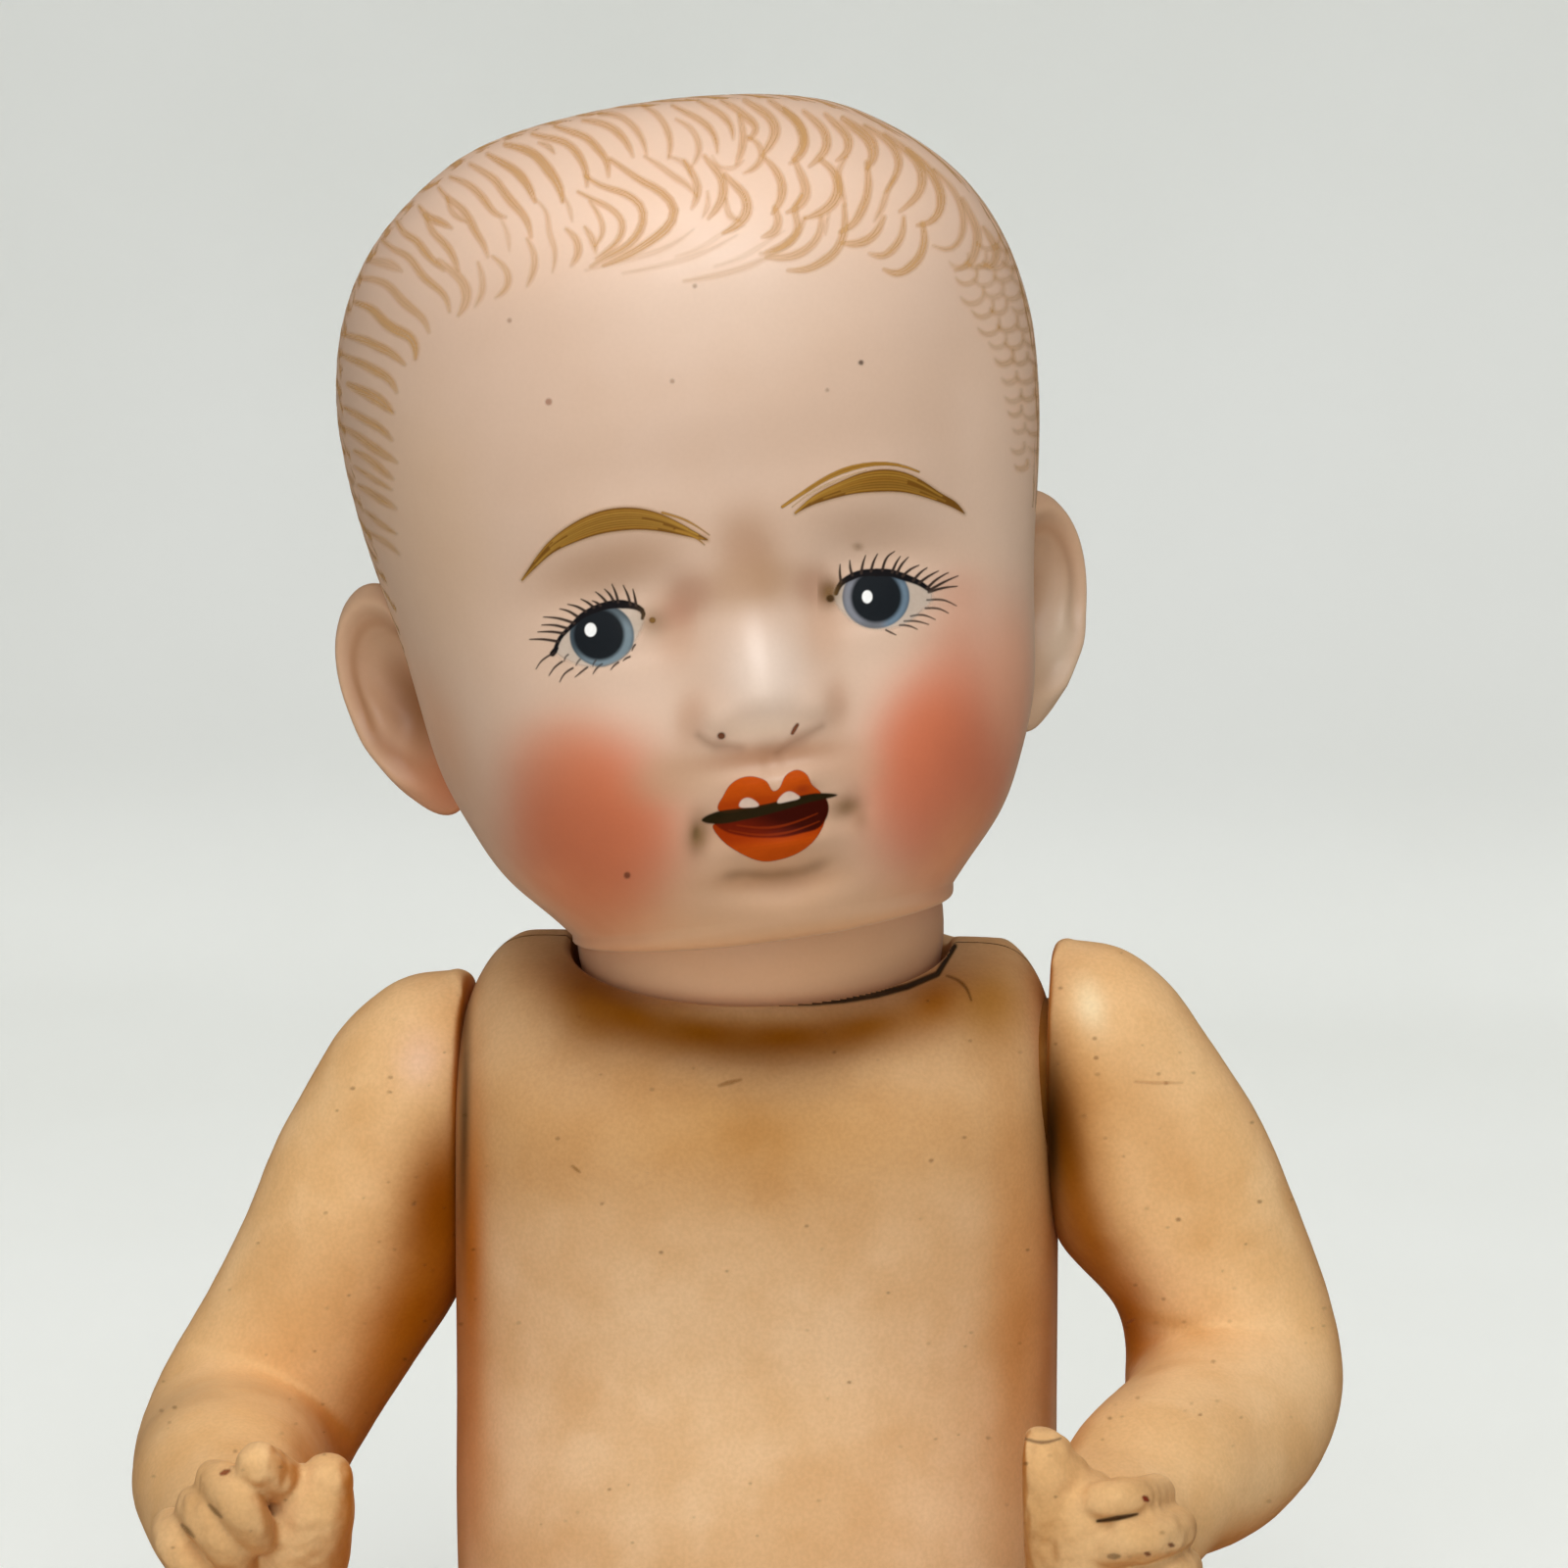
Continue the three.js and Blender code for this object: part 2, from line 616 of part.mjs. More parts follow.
function torsoWhole() {
  const outerShares = evenFalls(17);
  const innerShares = evenFalls(9);
  const outside = torsoForm(outerShares, evenColumns(28), 0);
  const cupFoot = neckPivot.clone().addScaledVector(leanAxis, -cupDepth);
  const bowl = ball(neckPivot, cupRadius + compositionWall, 16, 10)
    .subtract(beyond(cupFoot, leanAxis.clone().negate()));
  let hollow = torsoForm(innerShares, evenColumns(16), compositionWall).subtract(bowl);
  const cutters = [ball(neckPivot, cupRadius, 24, 14)];
  for (const joint of Object.values(joints)) {
    const edge = Math.sqrt(joint.bend ** 2 - (joint.bend - joint.depth) ** 2);
    const bossEdge = joint.flat + compositionWall;
    hollow = hollow.subtract(turnedOn(joint, [
      ...capRows(joint, joint.bend + compositionWall, bossEdge, 2),
      [bossEdge, joint.bend], [0, joint.bend],
    ], 10));
    cutters.push(turnedOn(joint, [
      ...capRows(joint, joint.bend, edge, 2), [joint.flat, 0], [joint.flat, joint.bend], [0, joint.bend],
    ], 20));
    cutters.push(rod(alongJoint(joint, joint.bend / 2), joint.out.clone().negate(), hookHoleRadius,
      joint.bend, 10));
  }
  return cutBy(outside, [hollow, ...cutters]);
}

// A limb body gets its flat inner face, the dome that turns in the dish, and the hole for its plug
function jointed(body, joint) {
  const face = alongJoint(joint, jointGap);
  const trimmed = body.subtract(beyond(face, joint.out.clone().negate()));
  const dome = turnedOn(joint, [
    ...capRows(joint, joint.bend - jointGap, joint.boss, 2), [joint.boss, overrun], [0, overrun],
  ], 20);
  const mouth = alongJoint(joint, -joint.depth - overrun);
  const boreLength = joint.plugLength + plugRecess + jointGap * 2 + overrun;
  return trimmed.add(dome).subtract(rod(mouth, joint.out, joint.plug + jointGap, boreLength, 14));
}

// Stations of an arm as shares of its spread, reach and drop, and of half its thickness
const rightArmShares = [
  [0.21, -0.01, -0.26, 0.42, 0.55],
  [0.26, -0.01, -0.17, 0.69, 0.82],
  [0.32, -0.01, -0.03, 0.88, 1.0],
  [0.41, -0.01, 0.13, 0.99, 1.04],
  [0.51, -0.01, 0.31, 1.02, 1.02],
  [0.625, -0.02, 0.51, 1.07, 1.0],
  [0.785, -0.02, 0.71, 1.05, 1.0],
  [0.95, 0.03, 0.9, 1.04, 1.0],
  [1.0, 0.24, 1.0, 1.0, 0.94],
  [0.94, 0.5, 0.99, 0.94, 0.88],
  [0.85, 0.75, 0.96, 0.84, 0.78],
  [0.78, 0.93, 0.94, 0.72, 0.68],
];
const leftArmShares = [
  [0.26, -0.01, -0.32, 0.38, 0.55],
  [0.33, -0.01, -0.2, 0.645, 0.82],
  [0.4, -0.01, -0.05, 0.9, 1.0],
  [0.49, -0.01, 0.12, 1.04, 1.04],
  [0.61, -0.01, 0.31, 1.07, 1.02],
  [0.757, -0.02, 0.52, 1.06, 1.0],
  [0.888, -0.02, 0.72, 1.04, 1.0],
  [0.975, 0.03, 0.9, 1.05, 1.0],
  [0.93, 0.24, 1.02, 1.0, 0.94],
  [0.77, 0.5, 1.06, 0.92, 0.88],
  [0.6, 0.75, 1.07, 0.82, 0.78],
  [0.48, 0.93, 1.07, 0.7, 0.7],
];

function armStations(joint, shape) {
  return shape.armShares.map(([out, ahead, down, wide, deep]) => ({
    at: v3(joint.at.x + joint.out.x * shape.spread * out, joint.at.y - shape.reach * ahead,
      joint.at.z - shape.drop * down),
    wide: wide * armThickness / 2,
    deep: deep * armThickness / 2,
  }));
}

// Rows of the palm in the hand's own frame: ahead and to the palm side as shares of the hand, up as
// a share of the palm's width, and half the thickness and half the width
const palmShares = [
  [-0.1, 0.0, 0.0, 0.42, 0.5],
  [0.12, 0.04, 0.0, 0.5, 0.56],
  [0.32, 0.05, -0.03, 0.52, 0.58],
  [0.48, 0.04, -0.05, 0.47, 0.54],
];

// A thumb and a finger: the same three shares along them, and their thickness
const rightThumbShares = [
  [0.0, 0.14, 0.22, 1.5],
  [0.22, 0.18, 0.46, 1.5],
  [0.42, 0.2, 0.62, 1.2],
  [0.54, 0.2, 0.7, 0.96],
];
const leftThumbShares = [
  [0.0, 0.2, 0.16, 1.5],
  [0.2, 0.34, 0.34, 1.5],
  [0.36, 0.42, 0.48, 1.25],
  [0.46, 0.42, 0.56, 1.0],
];
const fingerBendShares = [
  [0.0, 0.0, 1.12],
  [0.42, 0.04, 1.1],
  [0.72, 0.36, 1.05],
  [0.76, 0.8, 0.96],
];
const fingerPlaceShares = [
  { ahead: 0.42, palmward: -0.05, up: 0.42, long: 1.0 },
  { ahead: 0.46, palmward: -0.07, up: 0.1, long: 1.05 },
  { ahead: 0.42, palmward: -0.08, up: -0.22, long: 1.0 },
  { ahead: 0.34, palmward: -0.06, up: -0.52, long: 0.86 },
];

// The palm faces inwards, and rolls downwards about the line of the forearm
function hand(wrist, ahead, inward, shape) {
  const rise = new THREE.Vector3().crossVectors(inward, ahead).normalize();
  if (rise.z < 0) rise.negate();
  const roll = shape.roll * degree;
  const palmward = inward.clone().multiplyScalar(Math.cos(roll)).addScaledVector(rise, -Math.sin(roll));
  const thumbward = rise.clone().multiplyScalar(Math.cos(roll)).addScaledVector(inward, Math.sin(roll));
  const place = (along, across, above) => wrist.clone()
    .addScaledVector(ahead, along)
    .addScaledVector(palmward, across)
    .addScaledVector(thumbward, above);
  const palm = limb(palmShares.map(([along, across, above, thick, wide]) => ({
    at: place(along * handLength, across * handLength, above * palmWidth),
    wide: thick * palmThickness,
    deep: wide * palmWidth,
  })), palmward, 10, 4);
  const thumb = limb(shape.thumbShares.map(([along, across, above, thick]) => ({
    at: place(along * handLength, across * handLength, above * palmWidth),
    wide: thick * fingerThickness / 2,
    deep: thick * fingerThickness / 2,
  })), thumbward, 7, 4);
  const fingers = fingerPlaceShares.map((finger) => limb(fingerBendShares.map(([along, curl, thick]) => {
    const long = fingerLength * finger.long * shape.fingerShare;
    return {
      at: place(finger.ahead * handLength + along * long, finger.palmward * handLength + curl * long,
        finger.up * palmWidth),
      wide: thick * fingerThickness / 2,
      deep: thick * fingerThickness / 2,
    };
  }), thumbward, 6, 3));
  return joined([palm, thumb, ...fingers]);
}

function arm(joint, shape) {
  const stations = armStations(joint, shape);
  const wrist = stations[stations.length - 1].at;
  const before = stations[stations.length - 2].at;
  const ahead = wrist.clone().sub(before).normalize();
  const inwardRough = joint.out.clone().negate();
  const inward = inwardRough.addScaledVector(ahead, -inwardRough.dot(ahead)).normalize();
  const body = limb(stations, v3(1, 0, 0), 14, 13);
  return jointed(body.add(hand(wrist, ahead, inward, shape)), joint);
}

// Stations of a leg as shares of its spread and reach, of the drop to the ankle and of its thickness
const thighShares = [
  [0.0, 0.0, 0.0, 0.9, 0.94],
  [0.24, 0.18, 0.12, 1.0, 1.02],
  [0.56, 0.44, 0.16, 0.97, 1.0],
  [0.86, 0.72, 0.2, 0.9, 0.93],
  [1.0, 1.0, 0.32, 0.84, 0.86],
];
const shinShares = [
  [0.96, 0.26, 0.5, 0.78, 0.8],
  [0.8, 0.56, 0.72, 0.68, 0.7],
  [0.58, 0.82, 0.9, 0.56, 0.58],
  [0.42, 1.0, 1.0, 0.52, 0.545],
];
const footShares = [
  [0.0, 0.02, 0.4, 0.6],
  [0.22, 0.05, 0.4, 0.6],
  [0.44, 0.12, 0.44, 0.54],
  [0.6, 0.16, 0.46, 0.46],
];
const toeShares = [
  { across: 0.34, up: 0.98, ahead: 0.1, thick: 1.25 },
  { across: 0.11, up: 0.99, ahead: 0.1, thick: 1.0 },
  { across: -0.08, up: 0.95, ahead: 0.1, thick: 0.94 },
  { across: -0.26, up: 0.88, ahead: 0.1, thick: 0.88 },
  { across: -0.41, up: 0.79, ahead: 0.1, thick: 0.82 },
];

function leg(joint) {
  const side = Math.sign(joint.out.x);
  const station = (out, ahead, down, wide, deep) => ({
    at: v3(joint.at.x + side * legSpread * out, joint.at.y - ahead, joint.at.z - down),
    wide: wide * legThickness / 2,
    deep: deep * legThickness / 2,
  });
  const thigh = thighShares.map(([out, ahead, down, wide, deep]) =>
    station(out, ahead * legReach, down * ankleDrop, wide, deep));
  const shin = shinShares.map(([out, ahead, down, wide, deep]) =>
    station(out, legReach + ahead * ankleReach, down * ankleDrop, wide, deep));
  const body = limb([...thigh, ...shin], v3(1, 0, 0), 14, 12);
  const heel = shin[shin.length - 1].at;
  const inward = v3(-side, 0, 0);
  const place = (up, ahead, across) => v3(heel.x - side * across, heel.y - ahead, heel.z + up);
  const sole = limb(footShares.map(([up, ahead, wide, thick]) => ({
    at: place(up * footLength, ahead * footThickness, up * footWidth * footLeanShare),
    wide: wide * footWidth,
    deep: thick * footThickness,
  })), inward, 12, 5);
  const toes = toeShares.map((toe) => {
    const centre = place(toe.up * footLength, toe.ahead * footThickness,
      (toe.across + footLeanShare) * footWidth);
    return ball(centre, (toe.thick * toeThickness) / 2, 8, 6);
  });
  return jointed(joined([body, sole, ...toes]), joint);
}

// A round wooden plug with a blind hole for the wire shank
function limbPlug(joint) {
  const bore = wireRadius + jointGap;
  const profile = [
    [0, shankDepth + jointGap], [bore, shankDepth + jointGap], [bore, 0], [joint.plug, 0],
    [joint.plug, joint.plugLength], [0, joint.plugLength],
  ].map(([x, y]) => new THREE.Vector2(x, y));
  const geometry = new THREE.LatheGeometry(profile, 14);
  geometry.applyQuaternion(new THREE.Quaternion().setFromUnitVectors(v3(0, 1, 0), joint.out));
  const at = alongJoint(joint, plugRecess + jointGap - joint.depth);
  return solid(geometry.translate(at.x, at.y, at.z));
}

// A wire hook on a line: a straight shank, a small step aside, and a round bend that holds the cord
function hookCurve(eye, out, aside, shankLength) {
  const place = (along, off) => eye.clone().addScaledVector(out, along).addScaledVector(aside, off);
  const diagonal = hookBend * Math.SQRT1_2;
  return new THREE.CatmullRomCurve3([
    place(shankLength, 0),
    place(hookBend * 2.6, 0),
    place(hookBend * 1.6, hookBend * 0.35),
    place(hookBend * 0.8, hookBend * 0.86),
    place(0, hookBend),
    place(-diagonal, diagonal),
    place(-hookBend, 0),
    place(-diagonal, -diagonal),
    place(0, -hookBend),
    place(hookTip, -hookBend * 0.7),
  ], false, 'centripetal');
}

const up = v3(0, 0, 1);

function limbHook(joint, inset) {
  const eye = alongJoint(joint, -inset);
  const aside = up.clone().addScaledVector(joint.out, -up.dot(joint.out)).normalize();
  const shankLength = inset - joint.depth + plugRecess + jointGap + shankDepth;
  return tube(hookCurve(eye, joint.out, aside, shankLength), wireRadius, 6, 18);
}

// The hook that holds the head: an eye round the dowel, a shank and the bend for the leg cord
const turnedAcross = v3(Math.cos(headTurn * degree), Math.sin(headTurn * degree), 0);
const turnedBack = v3(-Math.sin(headTurn * degree), Math.cos(headTurn * degree), 0);
const eyeBend = dowelRadius + eyeClearance + wireRadius;

function headHook() {
  const place = (rise, off) => neckPivot.clone().addScaledVector(up, rise).addScaledVector(turnedBack, off);
  const points = [];
  const eyeSteps = 7;
  for (let k = 0; k <= eyeSteps; k += 1) {
    const angle = (eyeStartAngle + (k / eyeSteps) * eyeSweepAngle) * degree;
    points.push(place(eyeBend * Math.sin(angle), eyeBend * Math.cos(angle)));
  }
  points.push(place(-eyeBend * 1.25, -eyeBend * 0.22));
  points.push(place(-eyeBend * 1.9, 0));
  const eye = neckPivot.clone().addScaledVector(up, -headHookDrop);
  const lower = hookCurve(eye, up, turnedBack, headHookDrop - eyeBend * 3).points;
  return tube(new THREE.CatmullRomCurve3([...points, ...lower], false, 'centripetal'), wireRadius, 6, 40);
}

// The wooden plug in the neck: part of a ball about the pivot, flat on top, bored for the hook
function neckPlug() {
  const plugRadius = neckRadius - bisqueWall - jointGap * 2;
  const profile = [];
  const steps = 4;
  const from = Math.acos(neckPlugFoot / plugRadius);
  const to = Math.acos(neckPlugTop / plugRadius);
  profile.push(new THREE.Vector2(neckPlugBoreTop, -neckPlugTop));
  profile.push(new THREE.Vector2(neckPlugBoreFoot, -neckPlugFoot));
  for (let k = 0; k <= steps; k += 1) {
    const angle = from + ((to - from) * k) / steps;
    profile.push(new THREE.Vector2(plugRadius * Math.sin(angle), -plugRadius * Math.cos(angle)));
  }
  profile.push(profile[0].clone());
  return solid(new THREE.LatheGeometry(profile, 20).rotateX(Math.PI / 2));
}

function nodded(body) {
  const turn = new THREE.Quaternion().setFromAxisAngle(up, headTurn * degree);
  turn.multiply(new THREE.Quaternion().setFromAxisAngle(v3(1, 0, 0), headNod * degree));
  return posed(body, v3(0, 0, 0), turn, neckPivot);
}

function neckDowel() {
  const from = v3(-dowelLength / 2, 0, 0);
  return nodded(rod(from, v3(1, 0, 0), dowelRadius, dowelLength, 12));
}

// The cords: each passes round the wire of a hook, half a turn about the middle of its bend
const strandGap = elasticRadius + wireRadius + jointGap * 2;

function wrapRound(joint, inset, across) {
  return wrapAt(alongJoint(joint, -inset), joint.out, across);
}

function wrapAt(eye, out, across) {
  return [-90, -45, 0, 45, 90].map((angle) => eye.clone()
    .addScaledVector(out, strandGap * Math.cos(angle * degree) - hookBend)
    .addScaledVector(across, strandGap * Math.sin(angle * degree)));
}

// The arm cord is a long ring over both arm hooks, one strand before and one behind the head hook
const strandFront = neckSetBack - strandGap - elasticRadius;
const strandBack = neckSetBack + strandGap + elasticRadius;

function armCordCurve() {
  const back = v3(0, 1, 0);
  return new THREE.CatmullRomCurve3([
    v3(-cordEndGap / 2, strandFront, elasticDip),
    v3(-cordEndGap / 2 - ferruleLength, strandFront, elasticDip),
    v3(-cordTurn, strandFront, elasticDip),
    ...wrapRound(joints.rightShoulder, armHookInset, back),
    v3(-cordTurn, strandBack, elasticDip),
    v3(-cordTurn / 2, strandBack, elasticDip),
    v3(cordTurn / 2, strandBack, elasticDip),
    v3(cordTurn, strandBack, elasticDip),
    ...wrapRound(joints.leftShoulder, armHookInset, back.clone().negate()),
    v3(cordTurn, strandFront, elasticDip),
    v3(cordEndGap / 2 + ferruleLength, strandFront, elasticDip),
    v3(cordEndGap / 2, strandFront, elasticDip),
  ], false, 'centripetal');
}

// The leg cord runs from one hip hook up over the head hook, down to the other hip hook and across
function legCordCurve() {
  const headEye = neckPivot.clone().addScaledVector(up, -headHookDrop);
  const behind = v3(0, 1, 0);
  const crossing = joints.rightHip.at.clone().setX(0);
  crossing.add(v3(0, strandGap, hipHookInset * Math.sin(hipSlope * degree)));
  const rightEye = alongJoint(joints.rightHip, -hipHookInset);
  const leftEye = alongJoint(joints.leftHip, -hipHookInset);
  return new THREE.CatmullRomCurve3([
    v3(-cordEndGap / 2, crossing.y, crossing.z),
    v3(-cordEndGap / 2 - ferruleLength, crossing.y, crossing.z),
    ...wrapRound(joints.rightHip, hipHookInset, behind).reverse(),
    rightEye.clone().lerp(headEye, lowGuideShare),
    rightEye.clone().lerp(headEye, highGuideShare),
    ...wrapAt(headEye, up, turnedAcross),
    leftEye.clone().lerp(headEye, highGuideShare),
    leftEye.clone().lerp(headEye, lowGuideShare),
    ...wrapRound(joints.leftHip, hipHookInset, behind),
    v3(cordEndGap / 2 + ferruleLength, crossing.y, crossing.z),
    v3(cordEndGap / 2, crossing.y, crossing.z),
  ], false, 'centripetal');
}

// The crimped sleeve over the two ends of a cord
function ferrule(curve) {
  const inner = elasticRadius + jointGap;
  const outer = inner + ferruleWall;
  const half = ferruleLength / 2;
  const profile = [[inner, -half], [outer, -half], [outer, half], [inner, half], [inner, -half]]
    .map(([x, y]) => new THREE.Vector2(x, y));
  const end = curve.points[0];
  return solid(new THREE.LatheGeometry(profile, 10).rotateZ(Math.PI / 2).translate(0, end.y, end.z));
}

const group = new THREE.Group();
group.add(piece('head', headShell(), finishes.bisque));
group.add(piece('neck_liner', neckLiner(), finishes.leather));
group.add(piece('neck_plug', nodded(neckPlug()), finishes.wood));
group.add(piece('neck_dowel', neckDowel(), finishes.wood));
group.add(piece('head_hook', headHook(), finishes.steel));

const torso = torsoWhole();
const seamFront = v3(0, seamPlace - seamGap / 2, 0);
const seamBack = v3(0, seamPlace + seamGap / 2, 0);
group.add(piece('torso_front', torso.subtract(beyond(seamFront, v3(0, 1, 0))), finishes.composition));
group.add(piece('torso_back', torso.subtract(beyond(seamBack, v3(0, -1, 0))), finishes.composition));

const rightArm = arm(joints.rightShoulder, {
  armShares: rightArmShares, spread: rightArmSpread, reach: rightArmReach, drop: rightArmDrop,
  roll: rightHandRoll, thumbShares: rightThumbShares, fingerShare: rightFingerShare,
});
const leftArm = arm(joints.leftShoulder, {
  armShares: leftArmShares, spread: leftArmSpread, reach: leftArmReach, drop: leftArmDrop,
  roll: leftHandRoll, thumbShares: leftThumbShares, fingerShare: leftFingerShare,
});
group.add(piece('right_arm', rightArm, finishes.composition));
group.add(piece('left_arm', leftArm, finishes.composition));
group.add(piece('right_leg', leg(joints.rightHip), finishes.composition));
group.add(piece('left_leg', leg(joints.leftHip), finishes.composition));

for (const [name, joint, inset] of [
  ['right_arm', joints.rightShoulder, armHookInset],
  ['left_arm', joints.leftShoulder, armHookInset],
  ['right_leg', joints.rightHip, hipHookInset],
  ['left_leg', joints.leftHip, hipHookInset],
]) {
  group.add(piece(`${name}_plug`, limbPlug(joint), finishes.wood));
  group.add(piece(`${name}_hook`, limbHook(joint, inset), finishes.steel));
}

for (const [name, curve, steps] of [['arm', armCordCurve(), 40], ['leg', legCordCurve(), 56]]) {
  group.add(piece(`${name}_elastic`, tube(curve, elasticRadius, 8, steps), finishes.elastic));
  group.add(piece(`${name}_elastic_ferrule`, ferrule(curve), finishes.steel));
}

export default group;
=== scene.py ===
"""The look of a seated bisque head baby doll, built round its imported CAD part. Sizes are in millimetres."""
import math

import bmesh
import bpy
import numpy as np
from mathutils import Matrix, Vector, noise
from mathutils.bvhtree import BVHTree


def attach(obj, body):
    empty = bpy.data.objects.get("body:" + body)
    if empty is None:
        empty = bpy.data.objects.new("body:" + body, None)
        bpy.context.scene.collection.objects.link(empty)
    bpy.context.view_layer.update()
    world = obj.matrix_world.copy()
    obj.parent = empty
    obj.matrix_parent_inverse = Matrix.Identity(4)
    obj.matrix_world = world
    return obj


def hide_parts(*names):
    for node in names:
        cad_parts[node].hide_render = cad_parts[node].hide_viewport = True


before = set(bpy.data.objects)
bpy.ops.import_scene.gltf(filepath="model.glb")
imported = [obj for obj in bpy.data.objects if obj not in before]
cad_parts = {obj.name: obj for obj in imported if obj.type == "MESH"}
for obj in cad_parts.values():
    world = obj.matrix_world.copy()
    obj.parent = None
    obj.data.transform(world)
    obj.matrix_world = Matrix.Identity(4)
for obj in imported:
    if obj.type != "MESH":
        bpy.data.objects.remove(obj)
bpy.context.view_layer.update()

MM = 0.001
rng = np.random.default_rng(7)

# The camera of the photograph: the side of the picture and the focal length in its pixels
PHOTO = 1600
FOCAL = 5512.0
TARGET = np.array([2.65, 0.0, 114.8])
AZIMUTH = math.radians(6.0)
ELEVATION = math.radians(8.0)
DISTANCE = 520.0
BACK = np.array([math.sin(AZIMUTH) * math.cos(ELEVATION), -math.cos(AZIMUTH) * math.cos(ELEVATION),
                 math.sin(ELEVATION)])
EYE = TARGET + DISTANCE * BACK
RIGHT = np.array([math.cos(AZIMUTH), math.sin(AZIMUTH), 0.0])
UP = np.cross(BACK, RIGHT)


def to_photo(points):
    """Where points in the row frame fall in the photograph, in its pixels."""
    away = points - EYE
    depth = -(away @ BACK)
    return PHOTO / 2 + FOCAL * (away @ RIGHT) / depth, PHOTO / 2 - FOCAL * (away @ UP) / depth


def photo_ray(x, y):
    """The direction from the camera through a pixel of the photograph."""
    ray = -BACK + (x - PHOTO / 2) / FOCAL * RIGHT + (PHOTO / 2 - y) / FOCAL * UP
    return ray / np.linalg.norm(ray)


# Numbers and curves
def smooth(value, low, high):
    """From 0 at low to 1 at high, level at both ends."""
    share = np.clip((value - low) / (high - low), 0, 1)
    return share * share * (3 - 2 * share)


def bump(value, width):
    return np.exp(-(value / width) ** 2)


def glow(x, y, cx, cy, rx, ry, turn=0.0):
    """A soft oval: 1 in the middle, fading out past its half width and half height."""
    c, s = math.cos(math.radians(turn)), math.sin(math.radians(turn))
    u, v = (x - cx) * c + (y - cy) * s, (y - cy) * c - (x - cx) * s
    return np.exp(-(u / rx) ** 2 - (v / ry) ** 2)


def spline(places, values, at):
    """A smooth curve through the values at the places, read at other places."""
    places, values, at = (np.asarray(v, float) for v in (places, values, at))
    count = len(places)
    step = np.diff(places)
    left = np.eye(count)
    right = np.zeros_like(values)
    for i in range(1, count - 1):
        left[i, i - 1:i + 2] = step[i - 1], 2 * (step[i - 1] + step[i]), step[i]
        right[i] = 6 * ((values[i + 1] - values[i]) / step[i] - (values[i] - values[i - 1]) / step[i - 1])
    bend = np.linalg.solve(left, right)
    j = np.clip(np.searchsorted(places, at, side="right") - 1, 0, count - 2)
    shape = (-1,) + (1,) * (values.ndim - 1)
    h = step[j].reshape(shape)
    before = (at - places[j]).reshape(shape)
    after = h - before
    return (bend[j] * after ** 3 / (6 * h) + bend[j + 1] * before ** 3 / (6 * h)
            + (values[j] / h - bend[j] * h / 6) * after + (values[j + 1] / h - bend[j + 1] * h / 6) * before)


def bezier(start, first, second, end, count):
    """The rings of a sheet that runs from one ring to another, without the one it starts from."""
    return [(1 - t) ** 3 * start + 3 * t * (1 - t) ** 2 * first + 3 * t * t * (1 - t) * second + t ** 3 * end
            for t in np.linspace(0, 1, count)[1:]]


def reach_along(points):
    """How far along a line each of its points lies."""
    return np.concatenate([[0], np.cumsum(np.linalg.norm(np.diff(points, axis=0), axis=1))])


def through(points, count):
    """A smooth open curve of that many points through a few given ones."""
    points = np.asarray(points, float)
    reach = reach_along(points)
    return spline(reach, points, np.linspace(0, reach[-1], count))


def ring_through(points, count):
    """A smooth closed curve through a few given points."""
    points = [tuple(p) for p in points]
    looped = points[-2:] + points + points[:3]
    reach = reach_along(np.asarray(looped, float))
    at = np.linspace(reach[2], reach[-3], count, endpoint=False)
    return spline(reach, looped, at)


# Meshes
def mesh_object(name, points, faces):
    mesh = bpy.data.meshes.new(name)
    mesh.from_pydata((np.asarray(points) * MM).tolist(), [], [list(map(int, f)) for f in faces])
    mesh.update()
    mesh.shade_smooth()
    made = bpy.data.objects.new(name, mesh)
    bpy.context.scene.collection.objects.link(made)
    return made


def grid_faces(rings, columns, start, closed=True):
    """Faces of a grid whose first point has the number start."""
    ring = np.arange(rings - 1)[:, None]
    column = np.arange(columns if closed else columns - 1)[None, :]
    a = start + ring * columns + column
    b = start + ring * columns + (column + 1) % columns
    return np.stack([a, b, b + columns, a + columns], -1).reshape(-1, 4)


def skin(rings, first=None, last=None):
    """Points and faces of a surface through rings of points, closed by a point at each end if given."""
    rings = np.asarray(rings)
    count, columns = rings.shape[:2]
    points = rings.reshape(-1, 3)
    faces = [list(f) for f in grid_faces(count, columns, 0)]
    for end, ring in ((first, 0), (last, count - 1)):
        if end is None:
            continue
        points = np.vstack([points, end])
        pole = len(points) - 1
        for c in range(columns):
            pair = [ring * columns + c, ring * columns + (c + 1) % columns]
            faces.append([pole, pair[1], pair[0]] if ring == 0 else [pole, *pair])
    return points, outward(points, faces)


def outward(points, faces):
    """The faces of a closed surface, turned over if they look inwards."""
    volume = 0.0
    for corners in (3, 4):
        chosen = np.array([f for f in faces if len(f) == corners])
        for k in range(1, corners - 1) if len(chosen) else ():
            spots = [points[chosen[:, i]] for i in (0, k, k + 1)]
            volume += (spots[0] * np.cross(spots[1], spots[2])).sum()
    return faces if volume > 0 else [f[::-1] for f in faces]


def add_values(made, name, values):
    """A value or a colour at each point of a mesh, for its material."""
    values = np.asarray(values, float)
    if values.ndim == 1:
        layer = made.data.attributes.new(name, "FLOAT", "POINT")
        layer.data.foreach_set("value", values.astype(np.float32))
    else:
        layer = made.data.attributes.new(name, "FLOAT_COLOR", "POINT")
        full = np.concatenate([values, np.ones((len(values), 1))], 1)
        layer.data.foreach_set("color", full.astype(np.float32).ravel())


def points_of(made):
    """The points of a mesh in millimetres."""
    flat = np.zeros(len(made.data.vertices) * 3, np.float32)
    made.data.vertices.foreach_get("co", flat)
    return flat.reshape(-1, 3).astype(float) / MM


